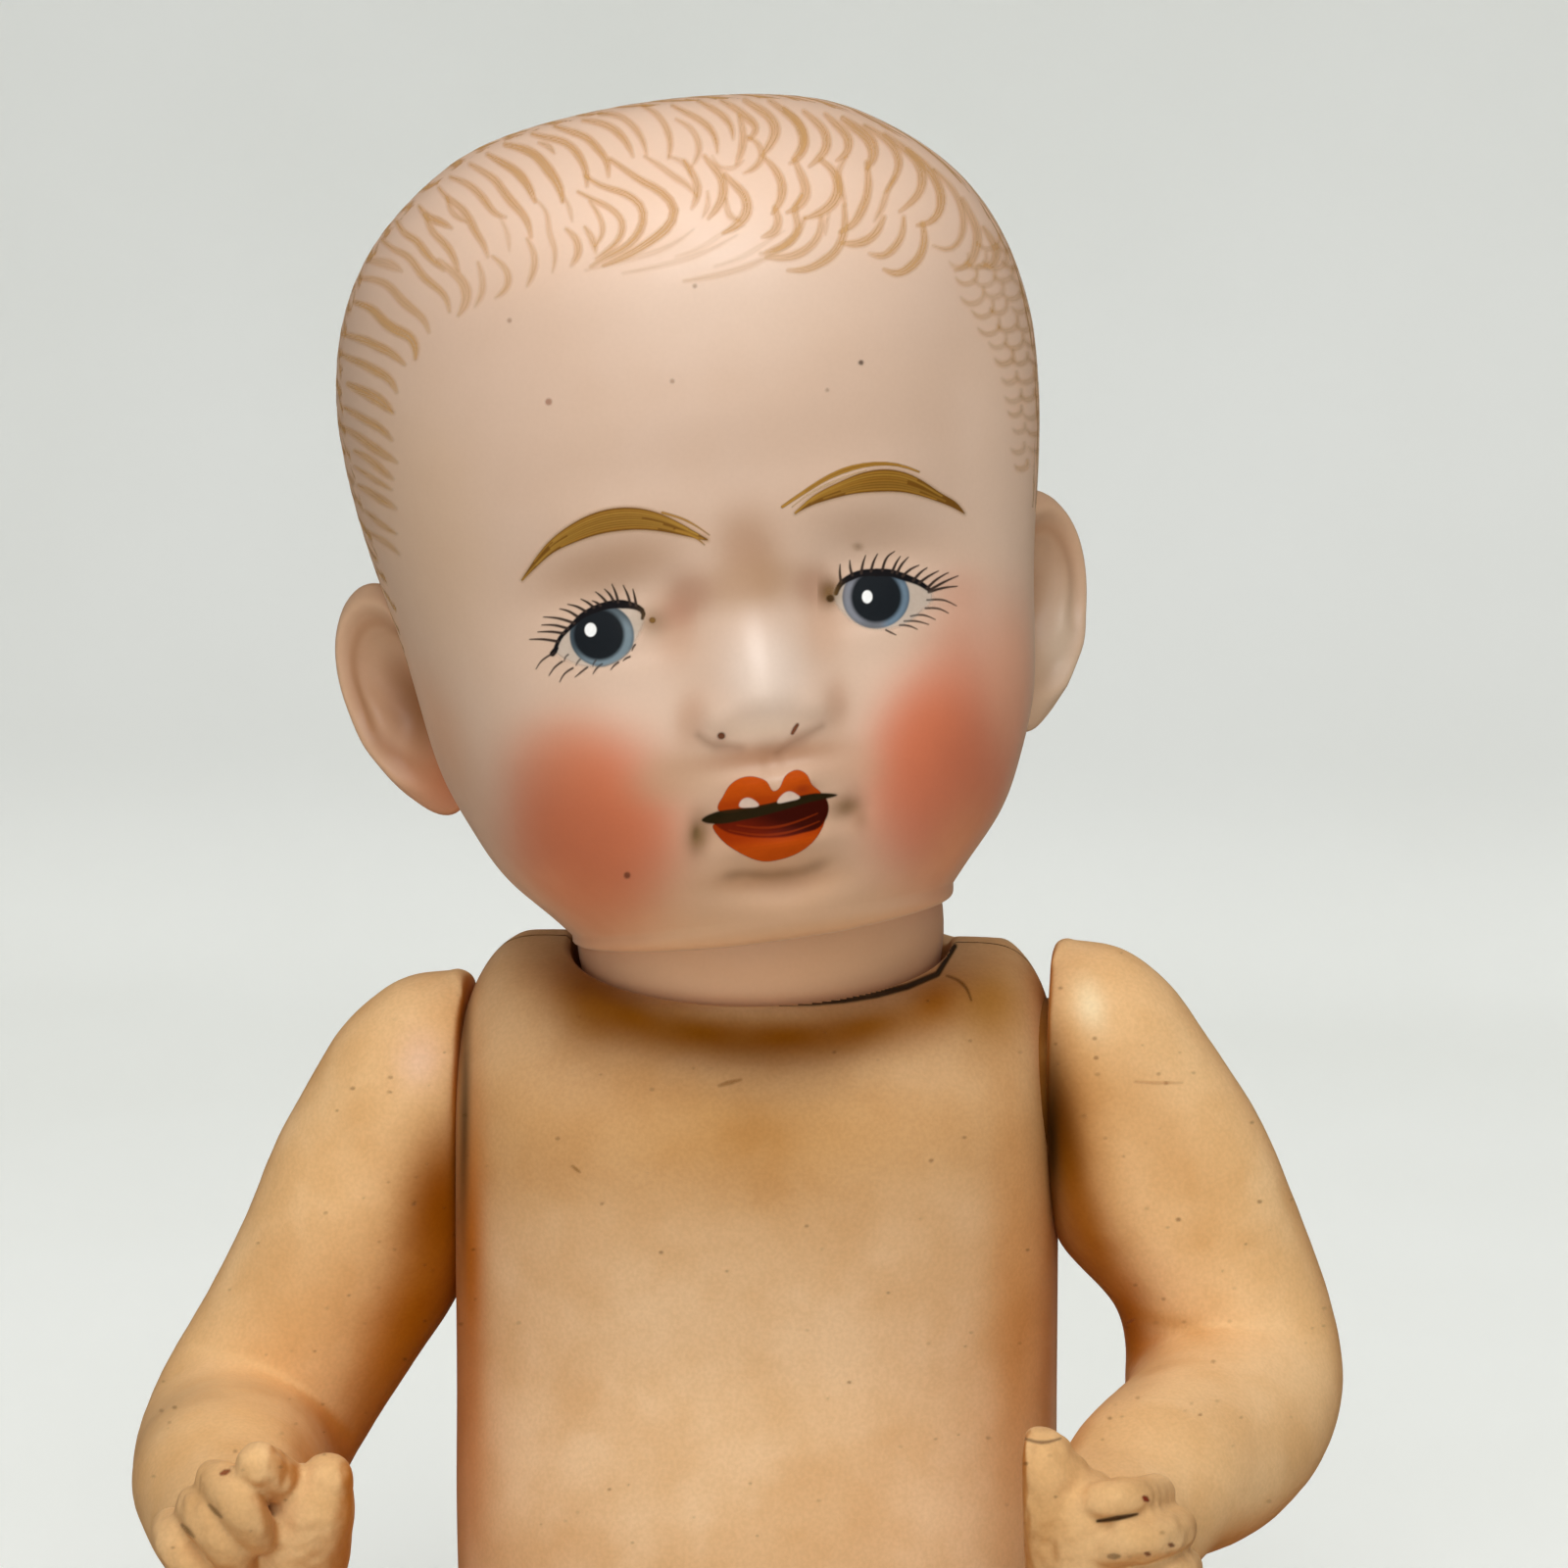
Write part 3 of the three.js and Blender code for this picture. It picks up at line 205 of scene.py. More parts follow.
def move_points(made, points):
    made.data.vertices.foreach_set("co", (points * MM).astype(np.float32).ravel())
    made.data.update()


def normals_of(made):
    flat = np.zeros(len(made.data.vertices) * 3, np.float32)
    made.data.vertex_normals.foreach_get("vector", flat)
    return flat.reshape(-1, 3).astype(float)


def fused(name, parts, voxel, rounds):
    """Several closed forms as one smooth skin."""
    points = np.zeros((0, 3))
    faces = []
    for part_points, part_faces in parts:
        faces += [[i + len(points) for i in f] for f in part_faces]
        points = np.vstack([points, part_points])
    rough = mesh_object(name + "_rough", points, faces)
    remesh = rough.modifiers.new("remesh", "REMESH")
    remesh.mode = "VOXEL"
    remesh.voxel_size = voxel * MM
    relax = rough.modifiers.new("relax", "SMOOTH")
    relax.factor = 0.5
    relax.iterations = rounds
    made = bpy.data.objects.new(name, evaluated_mesh(rough))
    made.data.name = name
    made.data.shade_smooth()
    bpy.context.scene.collection.objects.link(made)
    bpy.data.objects.remove(rough)
    return made


def evaluated_mesh(made):
    graph = bpy.context.evaluated_depsgraph_get()
    return bpy.data.meshes.new_from_object(made.evaluated_get(graph))


def level_rings(levels, angles):
    """Level rings: height, half width, front and back depth, and how square the corners are."""
    height, wide, front, back, square = (levels[:, k][:, None] for k in range(5))
    ahead = np.cos(angles)[None, :]
    aside = np.sin(angles)[None, :]
    depth = np.where(ahead > 0, front, back)
    x = wide * np.sign(aside) * np.abs(aside) ** (2 / square)
    y = -depth * np.sign(ahead) * np.abs(ahead) ** (2 / square)
    return np.stack([x, y, np.broadcast_to(height, x.shape)], -1)


def limb(stations, sideways, sides, steps, blunt=1.0):
    """A rounded form along a chain of stations: place, half width and half depth.

    Its first end is round when blunt is 1 and flatter below that.
    """
    stations = np.asarray(stations, float)
    reach = reach_along(stations[:, :3])
    at = np.linspace(0, reach[-1], steps)
    path = spline(reach, stations[:, :3], at)
    size = np.maximum(spline(reach, stations[:, 3:5], at), 0.2)
    tangent = np.gradient(path, axis=0)
    tangent /= np.linalg.norm(tangent, axis=1)[:, None]
    cap = np.sin(np.linspace(0.12, 0.97, 9) * math.pi / 2)
    rows = [(path[0] - tangent[0] * size[0, 0] * blunt * math.sqrt(1 - c * c), tangent[0], size[0] * c)
            for c in cap]
    rows += list(zip(path, tangent, size))
    rows += [(path[-1] + tangent[-1] * size[-1, 0] * math.sqrt(1 - c * c), tangent[-1], size[-1] * c)
             for c in cap[::-1]]
    angles = np.linspace(0, 2 * math.pi, sides, endpoint=False)
    side = np.asarray(sideways, float)
    rings = []
    for centre, along, half in rows:
        side = side - along * (side @ along)
        side = side / np.linalg.norm(side)
        deep = np.cross(along, side)
        rings.append(centre + np.cos(angles)[:, None] * side * half[0]
                     + np.sin(angles)[:, None] * deep * half[1])
    first = path[0] - tangent[0] * size[0, 0] * blunt
    last = path[-1] + tangent[-1] * size[-1, 0]
    return skin(rings, first, last)


def ball(centre, radius, sides):
    """A closed ball."""
    angles = np.linspace(0, 2 * math.pi, sides, endpoint=False)
    falls = np.linspace(0, math.pi, sides // 2 + 1)[1:-1]
    rings = [np.stack([np.sin(f) * np.cos(angles), np.sin(f) * np.sin(angles), np.full(sides, np.cos(f))], -1)
             for f in falls]
    upright = np.array([0, 0, radius])
    return skin(np.asarray(rings) * radius + centre, centre + upright, centre - upright)


# The head, modelled standing straight with the widest level of the skull at zero. The middle of the neck ball
# is NECK in the row frame and NECK_OWN in the head's own
NECK = np.array([0.0, 3.0, 100.5])
NECK_OWN = np.array([0.0, 4.0, -52.0])
NECK_RADIUS = 17.85
NECK_FOOT = -68.0
THROAT_RADIUS = NECK_RADIUS + 0.4
THROAT_LEVEL = -50.9
# How far the crown lies above the widest level and the chin below it, and the share of that at which the
# jaw ends and the throat begins
CROWN = 27.6
CHIN = 54.0
JAW_END = 0.93
HEAD_HALF_WIDTH = 33.5
FACE_DEPTH = 37.8
NAPE_DEPTH = 40.5
HEAD_TURN = np.array(Matrix.Rotation(math.radians(11), 3, "Z") @ Matrix.Rotation(math.radians(-8), 3, "X")
                     @ Matrix.Rotation(math.radians(-7.5), 3, "Y"))
# Height share, half width share, front and back depth shares, squareness
HEAD_SHARES = np.array([
    [1.0, 0.0, 0.0, 0.0, 2.0],
    [0.985, 0.22, 0.22, 0.22, 2.0],
    [0.94, 0.46, 0.45, 0.48, 2.0],
    [0.84, 0.645, 0.635, 0.67, 2.05],
    [0.735, 0.758, 0.745, 0.78, 2.1],
    [0.635, 0.839, 0.825, 0.855, 2.12],
    [0.53, 0.899, 0.885, 0.91, 2.15],
    [0.43, 0.94, 0.925, 0.95, 2.15],
    [0.325, 0.97, 0.96, 0.975, 2.15],
    [0.12, 1.0, 0.99, 1.0, 2.15],
    [-0.045, 1.0, 1.0, 1.0, 2.15],
    [-0.15, 0.982, 0.992, 0.98, 2.15],
    [-0.255, 0.952, 0.968, 0.935, 2.15],
    [-0.37, 0.915, 0.935, 0.865, 2.2],
    [-0.52, 0.88, 0.93, 0.765, 2.25],
    [-0.63, 0.845, 0.94, 0.69, 2.3],
    [-0.725, 0.785, 0.945, 0.63, 2.3],
    [-0.83, 0.69, 0.93, 0.575, 2.25],
    [-0.885, 0.61, 0.905, 0.545, 2.2],
    [-0.93, 0.548, 0.87, 0.526, 2.1],
])


def head_to_row(points):
    return (points - NECK_OWN) @ HEAD_TURN.T + NECK


def row_to_head(points):
    return (points - NECK) @ HEAD_TURN + NECK_OWN


def head_levels(shares):
    """The head's level rings at shares of the way up to the crown, or below zero of the way to the chin."""
    falls = np.sqrt(1 - HEAD_SHARES[:, 0])
    table = spline(falls, HEAD_SHARES[:, 1:], np.sqrt(1 - shares))
    height = np.where(shares > 0, shares * CROWN, shares * CHIN)
    return np.column_stack([height, table * [HEAD_HALF_WIDTH, FACE_DEPTH, NAPE_DEPTH, 1.0]])


# Where the face stands out: across, down, spread across, spread up, spread down, how far
FACE_FORMS = [
    (11.5, 12.6, 8.0, 3.2, 3.6, 0.55),
    (12.4, 20.6, 6.8, 4.2, 4.6, -1.9),
    (12.8, 22.4, 4.4, 2.7, 2.9, 1.55),
    (12.6, 26.3, 5.6, 1.2, 1.8, 0.4),
    (0.0, 20.5, 4.6, 5.0, 5.0, 1.0),
    (0.0, 29.6, 4.7, 6.4, 4.3, 3.9),
    (4.9, 31.6, 2.2, 2.4, 2.1, 1.1),
    (0.0, 36.2, 1.0, 1.6, 1.4, -0.35),
    (18.0, 34.0, 9.0, 8.0, 9.5, 2.6),
    (0.0, 40.5, 8.0, 5.5, 5.5, 1.7),
    (2.4, 37.9, 2.5, 1.1, 1.5, 0.9),
    (0.0, 43.7, 4.2, 1.1, 1.6, 1.25),
    (6.9, 41.0, 1.4, 1.6, 1.8, -0.7),
    (0.0, 46.9, 5.4, 1.2, 1.4, -0.75),
    (0.0, 50.3, 6.4, 2.8, 3.4, 1.3),
]


def face_relief(x, z):
    """How far the face stands out at a place across and up."""
    out = np.zeros_like(x)
    for across, down, spread, rise, fall, far in FACE_FORMS:
        for side in ((-1, 1) if across else (1,)):
            tall = np.where(z > -down, rise, fall)
            out += far * np.exp(-((x - side * across) / spread) ** 2 - ((z + down) / tall) ** 2)
    return out


def neck_ring(angles, radius, level):
    """A ring round the axis of the neck, in the head's frame."""
    return np.stack([radius * np.sin(angles), NECK_OWN[1] - radius * np.cos(angles),
                     np.full(len(angles), level)], -1)


def head_skin():
    # The columns lie closest over the face
    turns = np.linspace(0, 1, 320, endpoint=False)
    angles = 2 * math.pi * (turns - 0.6 * np.sin(2 * math.pi * turns) / (2 * math.pi))
    above = 1 - np.linspace(0.03, 1, 92) ** 2
    below = -np.linspace(0, JAW_END, 172)[1:]
    levels = head_levels(np.concatenate([above, below]))
    rings = level_rings(levels, angles)
    front = levels[:, 3][:, None]
    facing = np.clip(-rings[..., 1] / front, 0, 1)
    rings[..., 1] -= face_relief(rings[..., 0], rings[..., 2]) * np.minimum(facing * 1.6, 1)
    # Under the chin the skin turns in to the throat, and then runs down into the neck ball
    start = rings[-1]
    throat = neck_ring(angles, THROAT_RADIUS, THROAT_LEVEL)
    reach = np.linalg.norm(start - throat, axis=1)[:, None]
    share = np.clip(reach / 19, 0, 1)
    inward = (throat - start) / np.maximum(reach, 1e-6)
    first = start + inward * reach * 0.1 + share * [0, 0, -4.4]
    second = throat - inward * reach * 0.34 + share * [0, 0, -0.6]
    under = bezier(start, first, second, throat, 26)
    ball_rings = [neck_ring(angles, NECK_RADIUS * math.cos(fall), NECK_OWN[2] - NECK_RADIUS * math.sin(fall))
                  for fall in np.radians(np.linspace(-2, 60, 16))]
    rings = np.concatenate([rings, under, ball_rings])
    return skin(rings, first=np.array([0, 0, CROWN]), last=np.array([0, NECK_OWN[1], NECK_FOOT]))


head_points, head_faces = head_skin()
head = mesh_object("doll_head", head_to_row(head_points), head_faces)
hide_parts("head")
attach(head, "head")


# The ears: half width and heights above and below the middle, how thick the back is and how dark, the place
# in the head's frame, and how far an ear is turned outwards and leant
EAR_HALF_WIDTH = 6.5
EAR_ABOVE = 11.6
EAR_BELOW = 12.4
EAR_BACK = 2.4
EAR_BACK_SHADE = 0.25
EAR_PLACE = (30.4, 4.6, -24.9)
EAR_TURN = 40
EAR_LEAN = 28


def ear_form(side):
    """A flat shell with a rolled rim, a hollow and a lobe, and how deep each of its points lies in shade."""
    sides = 72
    around = np.linspace(0, 2 * math.pi, sides, endpoint=False)
    wide = EAR_HALF_WIDTH * (1 + 0.1 * np.sin(around))
    tall = np.where(np.sin(around) > 0, EAR_ABOVE, EAR_BELOW)
    outline = np.stack([wide * np.cos(around), tall * np.sin(around)], -1)
    outline[:, 0] += 1.4 * np.sin(around) - 0.6
    made = []
    shades = []
    for r in np.linspace(0.04, 1, 40):
        a, b = (outline * r).T
        rim = 1.5 * bump(r - 0.84, 0.13) * (1 - 0.8 * smooth(-b, 6, 10))
        hollow = -2.3 * np.exp(-((a + 0.2) / 3.4) ** 2 - ((b + 0.8) / 5.2) ** 2)
        ridge = 0.8 * np.exp(-((np.hypot(a - 0.4, (b - 1) * 0.72) - 4.2) / 0.9) ** 2) * smooth(b, -4, 2)
        tragus = 1.1 * np.exp(-((a + 4.6) / 1.5) ** 2 - ((b + 1.6) / 2.2) ** 2)
        made.append(np.stack([a, rim + hollow + ridge + tragus + 1.2 * math.sqrt(max(1 - r ** 4, 0)), b], -1))
        shades.append(0.9 * np.exp(-((a + 0.2) / 3.6) ** 2 - ((b + 0.8) / 5.6) ** 2)
                      + 0.5 * bump(r - 0.66, 0.1) * (1 - 0.8 * smooth(-b, 4, 9)))
    for r in np.linspace(1, 0.05, 14)[1:]:
        a, b = (outline * r).T
        made.append(np.stack([a, np.full(sides, -EAR_BACK * math.sqrt(1 - r * r)), b], -1))
        shades.append(np.full(sides, EAR_BACK_SHADE))
    points, faces = skin(made, first=np.array([0, made[0][:, 1].mean(), 0]), last=np.array([0, -EAR_BACK, 0]))
    points[:, 0] *= -side
    points[:, 1] *= -1
    lean = np.array(Matrix.Rotation(math.radians(side * EAR_TURN), 3, "Z")
                    @ Matrix.Rotation(math.radians(side * EAR_LEAN), 3, "Y"))
    across, back, up = EAR_PLACE
    points = points @ lean.T + [side * across, back, up]
    poles = [shades[0].mean(), EAR_BACK_SHADE]
    return points, outward(points, faces), np.concatenate([np.ravel(shades), poles])


ears, ear_shades = [], []
for side, name in ((-1, "right"), (1, "left")):
    ear_points, ear_faces, ear_shade = ear_form(side)
    ear = mesh_object(f"doll_{name}_ear", head_to_row(ear_points), ear_faces)
    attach(ear, "head")
    ears.append(ear)
    ear_shades.append(ear_shade)


# The body
TORSO_HEIGHT = 101.2
TORSO_HALF_WIDTH = 29.3
BELLY_DEPTH = 27.4
BACK_DEPTH = 22.0
# Height share, half width share, belly and back depth shares, squareness
TORSO_SHARES = np.array([
    [0.0, 0.41, 0.328, 0.545, 2.1],
    [0.012, 0.44, 0.37, 0.58, 2.1],
    [0.05, 0.58, 0.52, 0.74, 2.15],
    [0.11, 0.76, 0.7, 0.89, 2.2],
    [0.19, 0.905, 0.86, 0.985, 2.25],
    [0.27, 0.975, 0.965, 1.0, 2.25],
    [0.36, 0.995, 1.0, 0.96, 2.25],
    [0.45, 1.0, 0.97, 0.915, 2.25],
    [0.53, 1.0, 0.87, 0.895, 2.25],
    [0.595, 1.0, 0.795, 0.895, 2.3],
    [0.66, 1.0, 0.785, 0.915, 2.35],
    [0.73, 1.0, 0.805, 0.935, 2.4],
    [0.8, 1.0, 0.828, 0.955, 2.45],
    [0.855, 0.995, 0.812, 0.965, 2.45],
    [0.895, 0.985, 0.755, 0.975, 2.4],
    [0.93, 0.962, 0.675, 0.975, 2.3],
    [0.955, 0.925, 0.61, 0.96, 2.2],
])
# The neck cup leans forwards. Its rim lies a little below the middle of the neck ball and is rolled over
LEAN = math.radians(10)
CUP_RADIUS = 18.5
CUP_FLOOR = 81.6
RIM_HEIGHT = -1.35
RIM_ROLL = 0.75


def torso_rings():
    """The body from its foot to the shoulders, over the rim and down inside the neck cup."""
    angles = np.linspace(0, 2 * math.pi, 240, endpoint=False)
    shares = np.linspace(0, TORSO_SHARES[-1, 0], 230)
    sizes = spline(TORSO_SHARES[:, 0], TORSO_SHARES[:, 1:], shares)
    levels = np.column_stack([shares * TORSO_HEIGHT,
                              sizes * [TORSO_HALF_WIDTH, BELLY_DEPTH, BACK_DEPTH, 1.0]])
    rings = level_rings(levels, angles)
    rise = smooth(rings[..., 2], 80, 97)
    rings[..., 2] += rise * np.minimum(rings[..., 1] - NECK[1], 0) * math.tan(LEAN)
    # From the shoulders the skin turns in to the rim of the neck cup, rolls over it and goes down inside
    start, before = rings[-1], rings[-6]
    along = (start - before) / np.linalg.norm(start - before, axis=1)[:, None]
    up = np.array([0, -math.sin(LEAN), math.cos(LEAN)])
    forward = np.array([0, -math.cos(LEAN), -math.sin(LEAN)])
    radial = np.sin(angles)[:, None] * [1, 0, 0] + np.cos(angles)[:, None] * forward
    edge = NECK + up * RIM_HEIGHT + radial * (CUP_RADIUS + RIM_ROLL)
    reach = np.linalg.norm(edge - start, axis=1)[:, None]
    turned = bezier(start, start + along * reach * 0.42, edge + radial * reach * 0.38, edge, 24)
    roll = [NECK + up * (RIM_HEIGHT - RIM_ROLL + RIM_ROLL * math.cos(a))
            + radial * (CUP_RADIUS + RIM_ROLL - RIM_ROLL * math.sin(a))
            for a in np.linspace(0, math.pi / 2, 8)[1:]]
    joined = np.concatenate([rings, turned])
    shoulder = len(rings) - 60
    for _ in range(60):
        joined[shoulder:-1] = (joined[shoulder - 1:-2] + 2 * joined[shoulder:-1] + joined[shoulder + 1:]) / 4
    lowest = math.asin((RIM_HEIGHT - RIM_ROLL) / CUP_RADIUS)
    inside = [NECK + up * CUP_RADIUS * math.sin(fall) + radial * CUP_RADIUS * math.cos(fall)
              for fall in np.linspace(lowest, math.radians(-60), 14)[1:]]
    made = np.concatenate([joined, roll, inside])
    # At the back the rim is lower, so that the jaw passes over it when the head turns
    near = smooth(25 - np.hypot(made[..., 0], made[..., 1] - NECK[1]), 0, 4)
    made[..., 2] -= 2.9 * near * smooth(made[..., 1], 4, 12) * smooth(made[..., 2], 92, 98)
    return made


def cut_in_half(points, faces, name, keep_front, seam):
    """The half of a form in front of the seam or behind it, left open there."""
    made = mesh_object(name, points, faces)
    graph = bmesh.new()
    graph.from_mesh(made.data)
    facing = (0, 1, 0) if keep_front else (0, -1, 0)
    bmesh.ops.bisect_plane(graph, geom=graph.verts[:] + graph.edges[:] + graph.faces[:],
                           plane_co=(0, seam * MM, 0), plane_no=facing, clear_outer=True)
    graph.to_mesh(made.data)
    graph.free()
    made.data.shade_smooth()
    return made


torso_points, torso_faces = skin(torso_rings(), first=np.array([0, 1.0, 0]),
                                 last=np.array([0, NECK[1], CUP_FLOOR]))
body_pieces = []
for name, keep_front, seam in (("torso_front", True, 2.9), ("torso_back", False, 3.1)):
    half = cut_in_half(torso_points, torso_faces, "doll_" + name, keep_front, seam)
    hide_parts(name)
    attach(half, "torso")
    body_pieces.append(half)

# The arms: stations as shares of spread, reach and drop, and half width and depth as shares of ARM_HALF
ARM_HALF = 10
ARM_SHARES = {
    "right": [
        [-0.054, -0.01, -0.316, 0.434, 0.39], [-0.013, -0.01, -0.264, 0.724, 0.65],
        [0.049, -0.01, -0.186, 0.96, 0.86], [0.13, -0.01, -0.081, 1.12, 1.0],
        [0.212, -0.01, 0.023, 1.17, 1.04], [0.33, -0.01, 0.165, 1.18, 1.04],
        [0.447, -0.01, 0.31, 1.17, 1.03], [0.61, -0.02, 0.51, 1.1, 1.0],
        [0.785, -0.02, 0.71, 1.05, 1.0], [0.95, 0.03, 0.9, 1.04, 1.0], [1.0, 0.24, 1.0, 1.0, 0.94],
        [0.94, 0.5, 0.99, 0.96, 0.92], [0.86, 0.75, 0.96, 0.91, 0.86],
    ],
    "left": [
        [-0.049, -0.01, -0.409, 0.438, 0.39], [-0.003, -0.01, -0.35, 0.73, 0.65],
        [0.067, -0.01, -0.261, 0.968, 0.86], [0.159, -0.01, -0.142, 1.13, 1.0],
        [0.252, -0.01, -0.023, 1.18, 1.03], [0.4, -0.01, 0.13, 1.19, 1.04],
        [0.62, -0.01, 0.33, 1.14, 1.03], [0.8, -0.02, 0.52, 1.02, 1.0],
        [0.92, -0.02, 0.72, 1.0, 1.0], [0.975, 0.03, 0.9, 1.05, 1.0], [0.93, 0.24, 1.02, 1.0, 0.94],
        [0.77, 0.5, 1.06, 0.93, 0.89], [0.6, 0.75, 1.07, 0.84, 0.8],
    ],
}
# Joint place, side, spread, reach, drop, and how far the face of the arm stands off
ARM_PLACES = {
    "right": ((-27.4, 0.5, 83.0), -1, 22.6, 36, 34, 0.7),
    "left": ((27.4, 0.5, 85.6), 1, 19.6, 36, 30, 1.1),
}
# The hands: chains of places in the photograph's pixels, each with its depth in the row frame and its radius.
# The first chain of each is the palm, which carries on from the arm
HAND_CHAINS = {
    "right": [
        [(240, 1550, -33, 7.9), (256, 1580, -37.5, 6.6), (272, 1606, -36.5, 5.2)],
        [(334, 1510, -44.0, 2.5), (327, 1526, -43.6, 3.4), (312, 1552, -42.2, 4.5), (298, 1580, -40, 5.4),
         (286, 1600, -38, 5.8)],
        [(308, 1524, -42.6, 2.8), (298, 1546, -42.0, 3.8), (290, 1584, -39.5, 5.0)],
        [(296, 1530, -42, 2.2), (282, 1506, -45.5, 2.2), (264, 1494, -47.5, 2.15)],
        [(222, 1512, -44.5, 2.2), (238, 1526, -47.5, 2.2), (253, 1548, -48.2, 2.0), (264, 1567, -46.6, 1.8)],
        [(202, 1538, -44, 2.2), (215, 1556, -47, 2.1), (232, 1578, -47.2, 2.0), (242, 1596, -45.4, 1.8)],
        [(176, 1560, -42, 2.0), (186, 1582, -45.5, 2.0), (200, 1600, -45.8, 1.9), (212, 1618, -44, 1.7)],
    ],
    "left": [
        [(1144, 1552, -32, 7.6), (1120, 1582, -37, 6.7), (1104, 1629, -38, 5.4)],
        [(1058, 1494, -45.6, 3.4), (1060, 1500, -45.6, 3.5), (1064, 1518, -45.2, 3.9),
         (1074, 1548, -43.8, 4.6), (1090, 1595, -41, 5.6)],
        [(1052, 1486, -45.6, 2.0), (1072, 1484, -45.4, 2.0)],
        [(1053, 1506, -45.5, 2.7), (1080, 1508, -45.2, 2.7)],
        [(1090, 1508, -44.6, 2.2), (1098, 1530, -45.2, 3.4), (1106, 1566, -44.8, 4.4),
         (1112, 1610, -43, 5.2)],
        [(1112, 1528, -44.0, 2.6), (1134, 1556, -43.4, 3.4)],
        [(1178, 1524, -41.0, 1.9), (1160, 1528, -45.2, 1.95), (1138, 1530, -47.6, 1.95),
         (1118, 1533, -47.6, 1.7)],
        [(1198, 1560, -41.5, 2.1), (1184, 1566, -46, 2.1), (1156, 1573, -48.2, 2.0),
         (1124, 1580, -47.6, 1.7)],
        [(1204, 1600, -40, 2.1), (1190, 1608, -45, 2.1), (1160, 1617, -47, 2.0), (1128, 1624, -46, 1.7)],
    ],
}


def at_pixel(x, y, depth):
    """The point at a depth of the row frame that a pixel of the photograph shows."""
    ray = photo_ray(x, y)
    return EYE + ray * (depth - EYE[1]) / ray[1]


def arm_parts(which):
    """The forms that an arm is fused from: the arm with its palm, and the fingers."""
    at, side, spread, reach, drop, _ = ARM_PLACES[which]
    stations = [(at[0] + side * spread * out, at[1] - reach * ahead, at[2] - drop * down,
                 wide * ARM_HALF, deep * ARM_HALF) for out, ahead, down, wide, deep in ARM_SHARES[which]]
    palm, *fingers = [[(*at_pixel(x, y, depth), radius, radius) for x, y, depth, radius in chain]
                      for chain in HAND_CHAINS[which]]
    return [limb(stations + palm, (1, 0, 0), 48, 160, 0.23),
            *[limb(spots, (0, 0, 1), 28, 40) for spots in fingers]]


# Sets the noise of the chips apart from that of the crumbs
CHIP_SHIFT = np.array([5, 3, 9])


def roughen(made, fine_where):
    """Shallow dents over a limb, and a crumbled surface where it is worn."""
    points, normals = points_of(made), normals_of(made)
    worn = fine_where(points)
    moved = np.zeros(len(points))
    for i, place in enumerate(points):
        moved[i] = 0.1 * noise.noise(Vector(place / 7.0)) + 0.035 * noise.noise(Vector(place / 2.2))
        if worn[i] > 0.02:
            crumbs = noise.noise(Vector(place / 1.1))
            chips = max(noise.noise(Vector(place / 2.0 + CHIP_SHIFT)) - 0.1, 0)
            moved[i] += worn[i] * (0.13 * crumbs - 0.3 * chips)
    move_points(made, points + normals * moved[:, None])


# The domes of the limbs: the gap to their dish, its depth, and how far their root goes into the limb
DOME_GAP = 0.3
DISH_DEPTH = 2.2
DOME_ROOT = 2.5
# The radius of the dish and of the dome's rim
ARM_DOME = (20, 8.4)
LEG_DOME = (24, 9.4)


def dome(at, out, bend, edge):
    """The shallow dome on the inner face of a limb, with a short root inside the limb.

    bend is the radius of the dish in the body and edge that of the dome's rim.
    """
    out = np.asarray(out, float)
    across = np.cross(out, [0, 1, 0])
    across /= np.linalg.norm(across)
    other = np.cross(out, across)
    angles = np.linspace(0, 2 * math.pi, 48, endpoint=False)
    rings = [(r, bend - DISH_DEPTH - math.sqrt((bend - DOME_GAP) ** 2 - r * r))
             for r in np.linspace(0.1, 1, 12) * edge]
    lip = rings[-1][1]
    rings += [(edge + 0.12, lip + 0.1), (edge + 0.16, lip + 0.3), (edge + 0.16, 1.2),
              (edge + 0.16, DOME_ROOT)]
    made = [np.asarray(at) + out * far
            + r * (np.cos(angles)[:, None] * across + np.sin(angles)[:, None] * other) for r, far in rings]
    return skin(made, np.asarray(at) + out * (DOME_GAP - DISH_DEPTH), np.asarray(at) + out * DOME_ROOT)


def flatten_at(made, at, out, stand_off, round_over=1.1):
    """Presses what lies past a limb's joint face on to that face, with a rounded edge."""
    points = points_of(made)
    out = np.asarray(out, float)
    far = (points - at) @ out
    past = np.clip((far - stand_off) / round_over, -30, 30)
    move_points(made, points + (stand_off + round_over * np.log1p(np.exp(past)) - far)[:, None] * out)


arms = {}
for which, (at, side, _, _, _, stand_off) in ARM_PLACES.items():
    out = np.array([side, 0, 0.0])
    made = fused(f"doll_{which}_arm", arm_parts(which), 0.36, 4)
    roughen(made, lambda spots: smooth(-spots[:, 1], 41, 46))
    flatten_at(made, np.array(at), out, stand_off)
    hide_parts(f"{which}_arm")
    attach(made, f"{which}_arm")
    arms[which] = made
    cap = mesh_object(f"doll_{which}_arm_dome", *dome(at, out, *ARM_DOME))
    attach(cap, f"{which}_arm")
    arms[which + "_dome"] = cap

# The legs: the joint of the left one, how far a leg spreads and drops, how long its thigh and shin are, and
# its half width
HIP = (24.5, -4.0, 20.0)
LEG_SPREAD = 19.5
LEG_DROP = 12.4
THIGH_LENGTH = 46
SHIN_LENGTH = 34
LEG_HALF = 13
# The foot stands up from the heel: its height, half thickness and width, how far it leans outwards as a share
# of its width, and the radius of a toe
FOOT_HEIGHT = 25
FOOT_HALF = 12
FOOT_WIDTH = 16.4
FOOT_TWIST = 0.28
TOE = 2.7
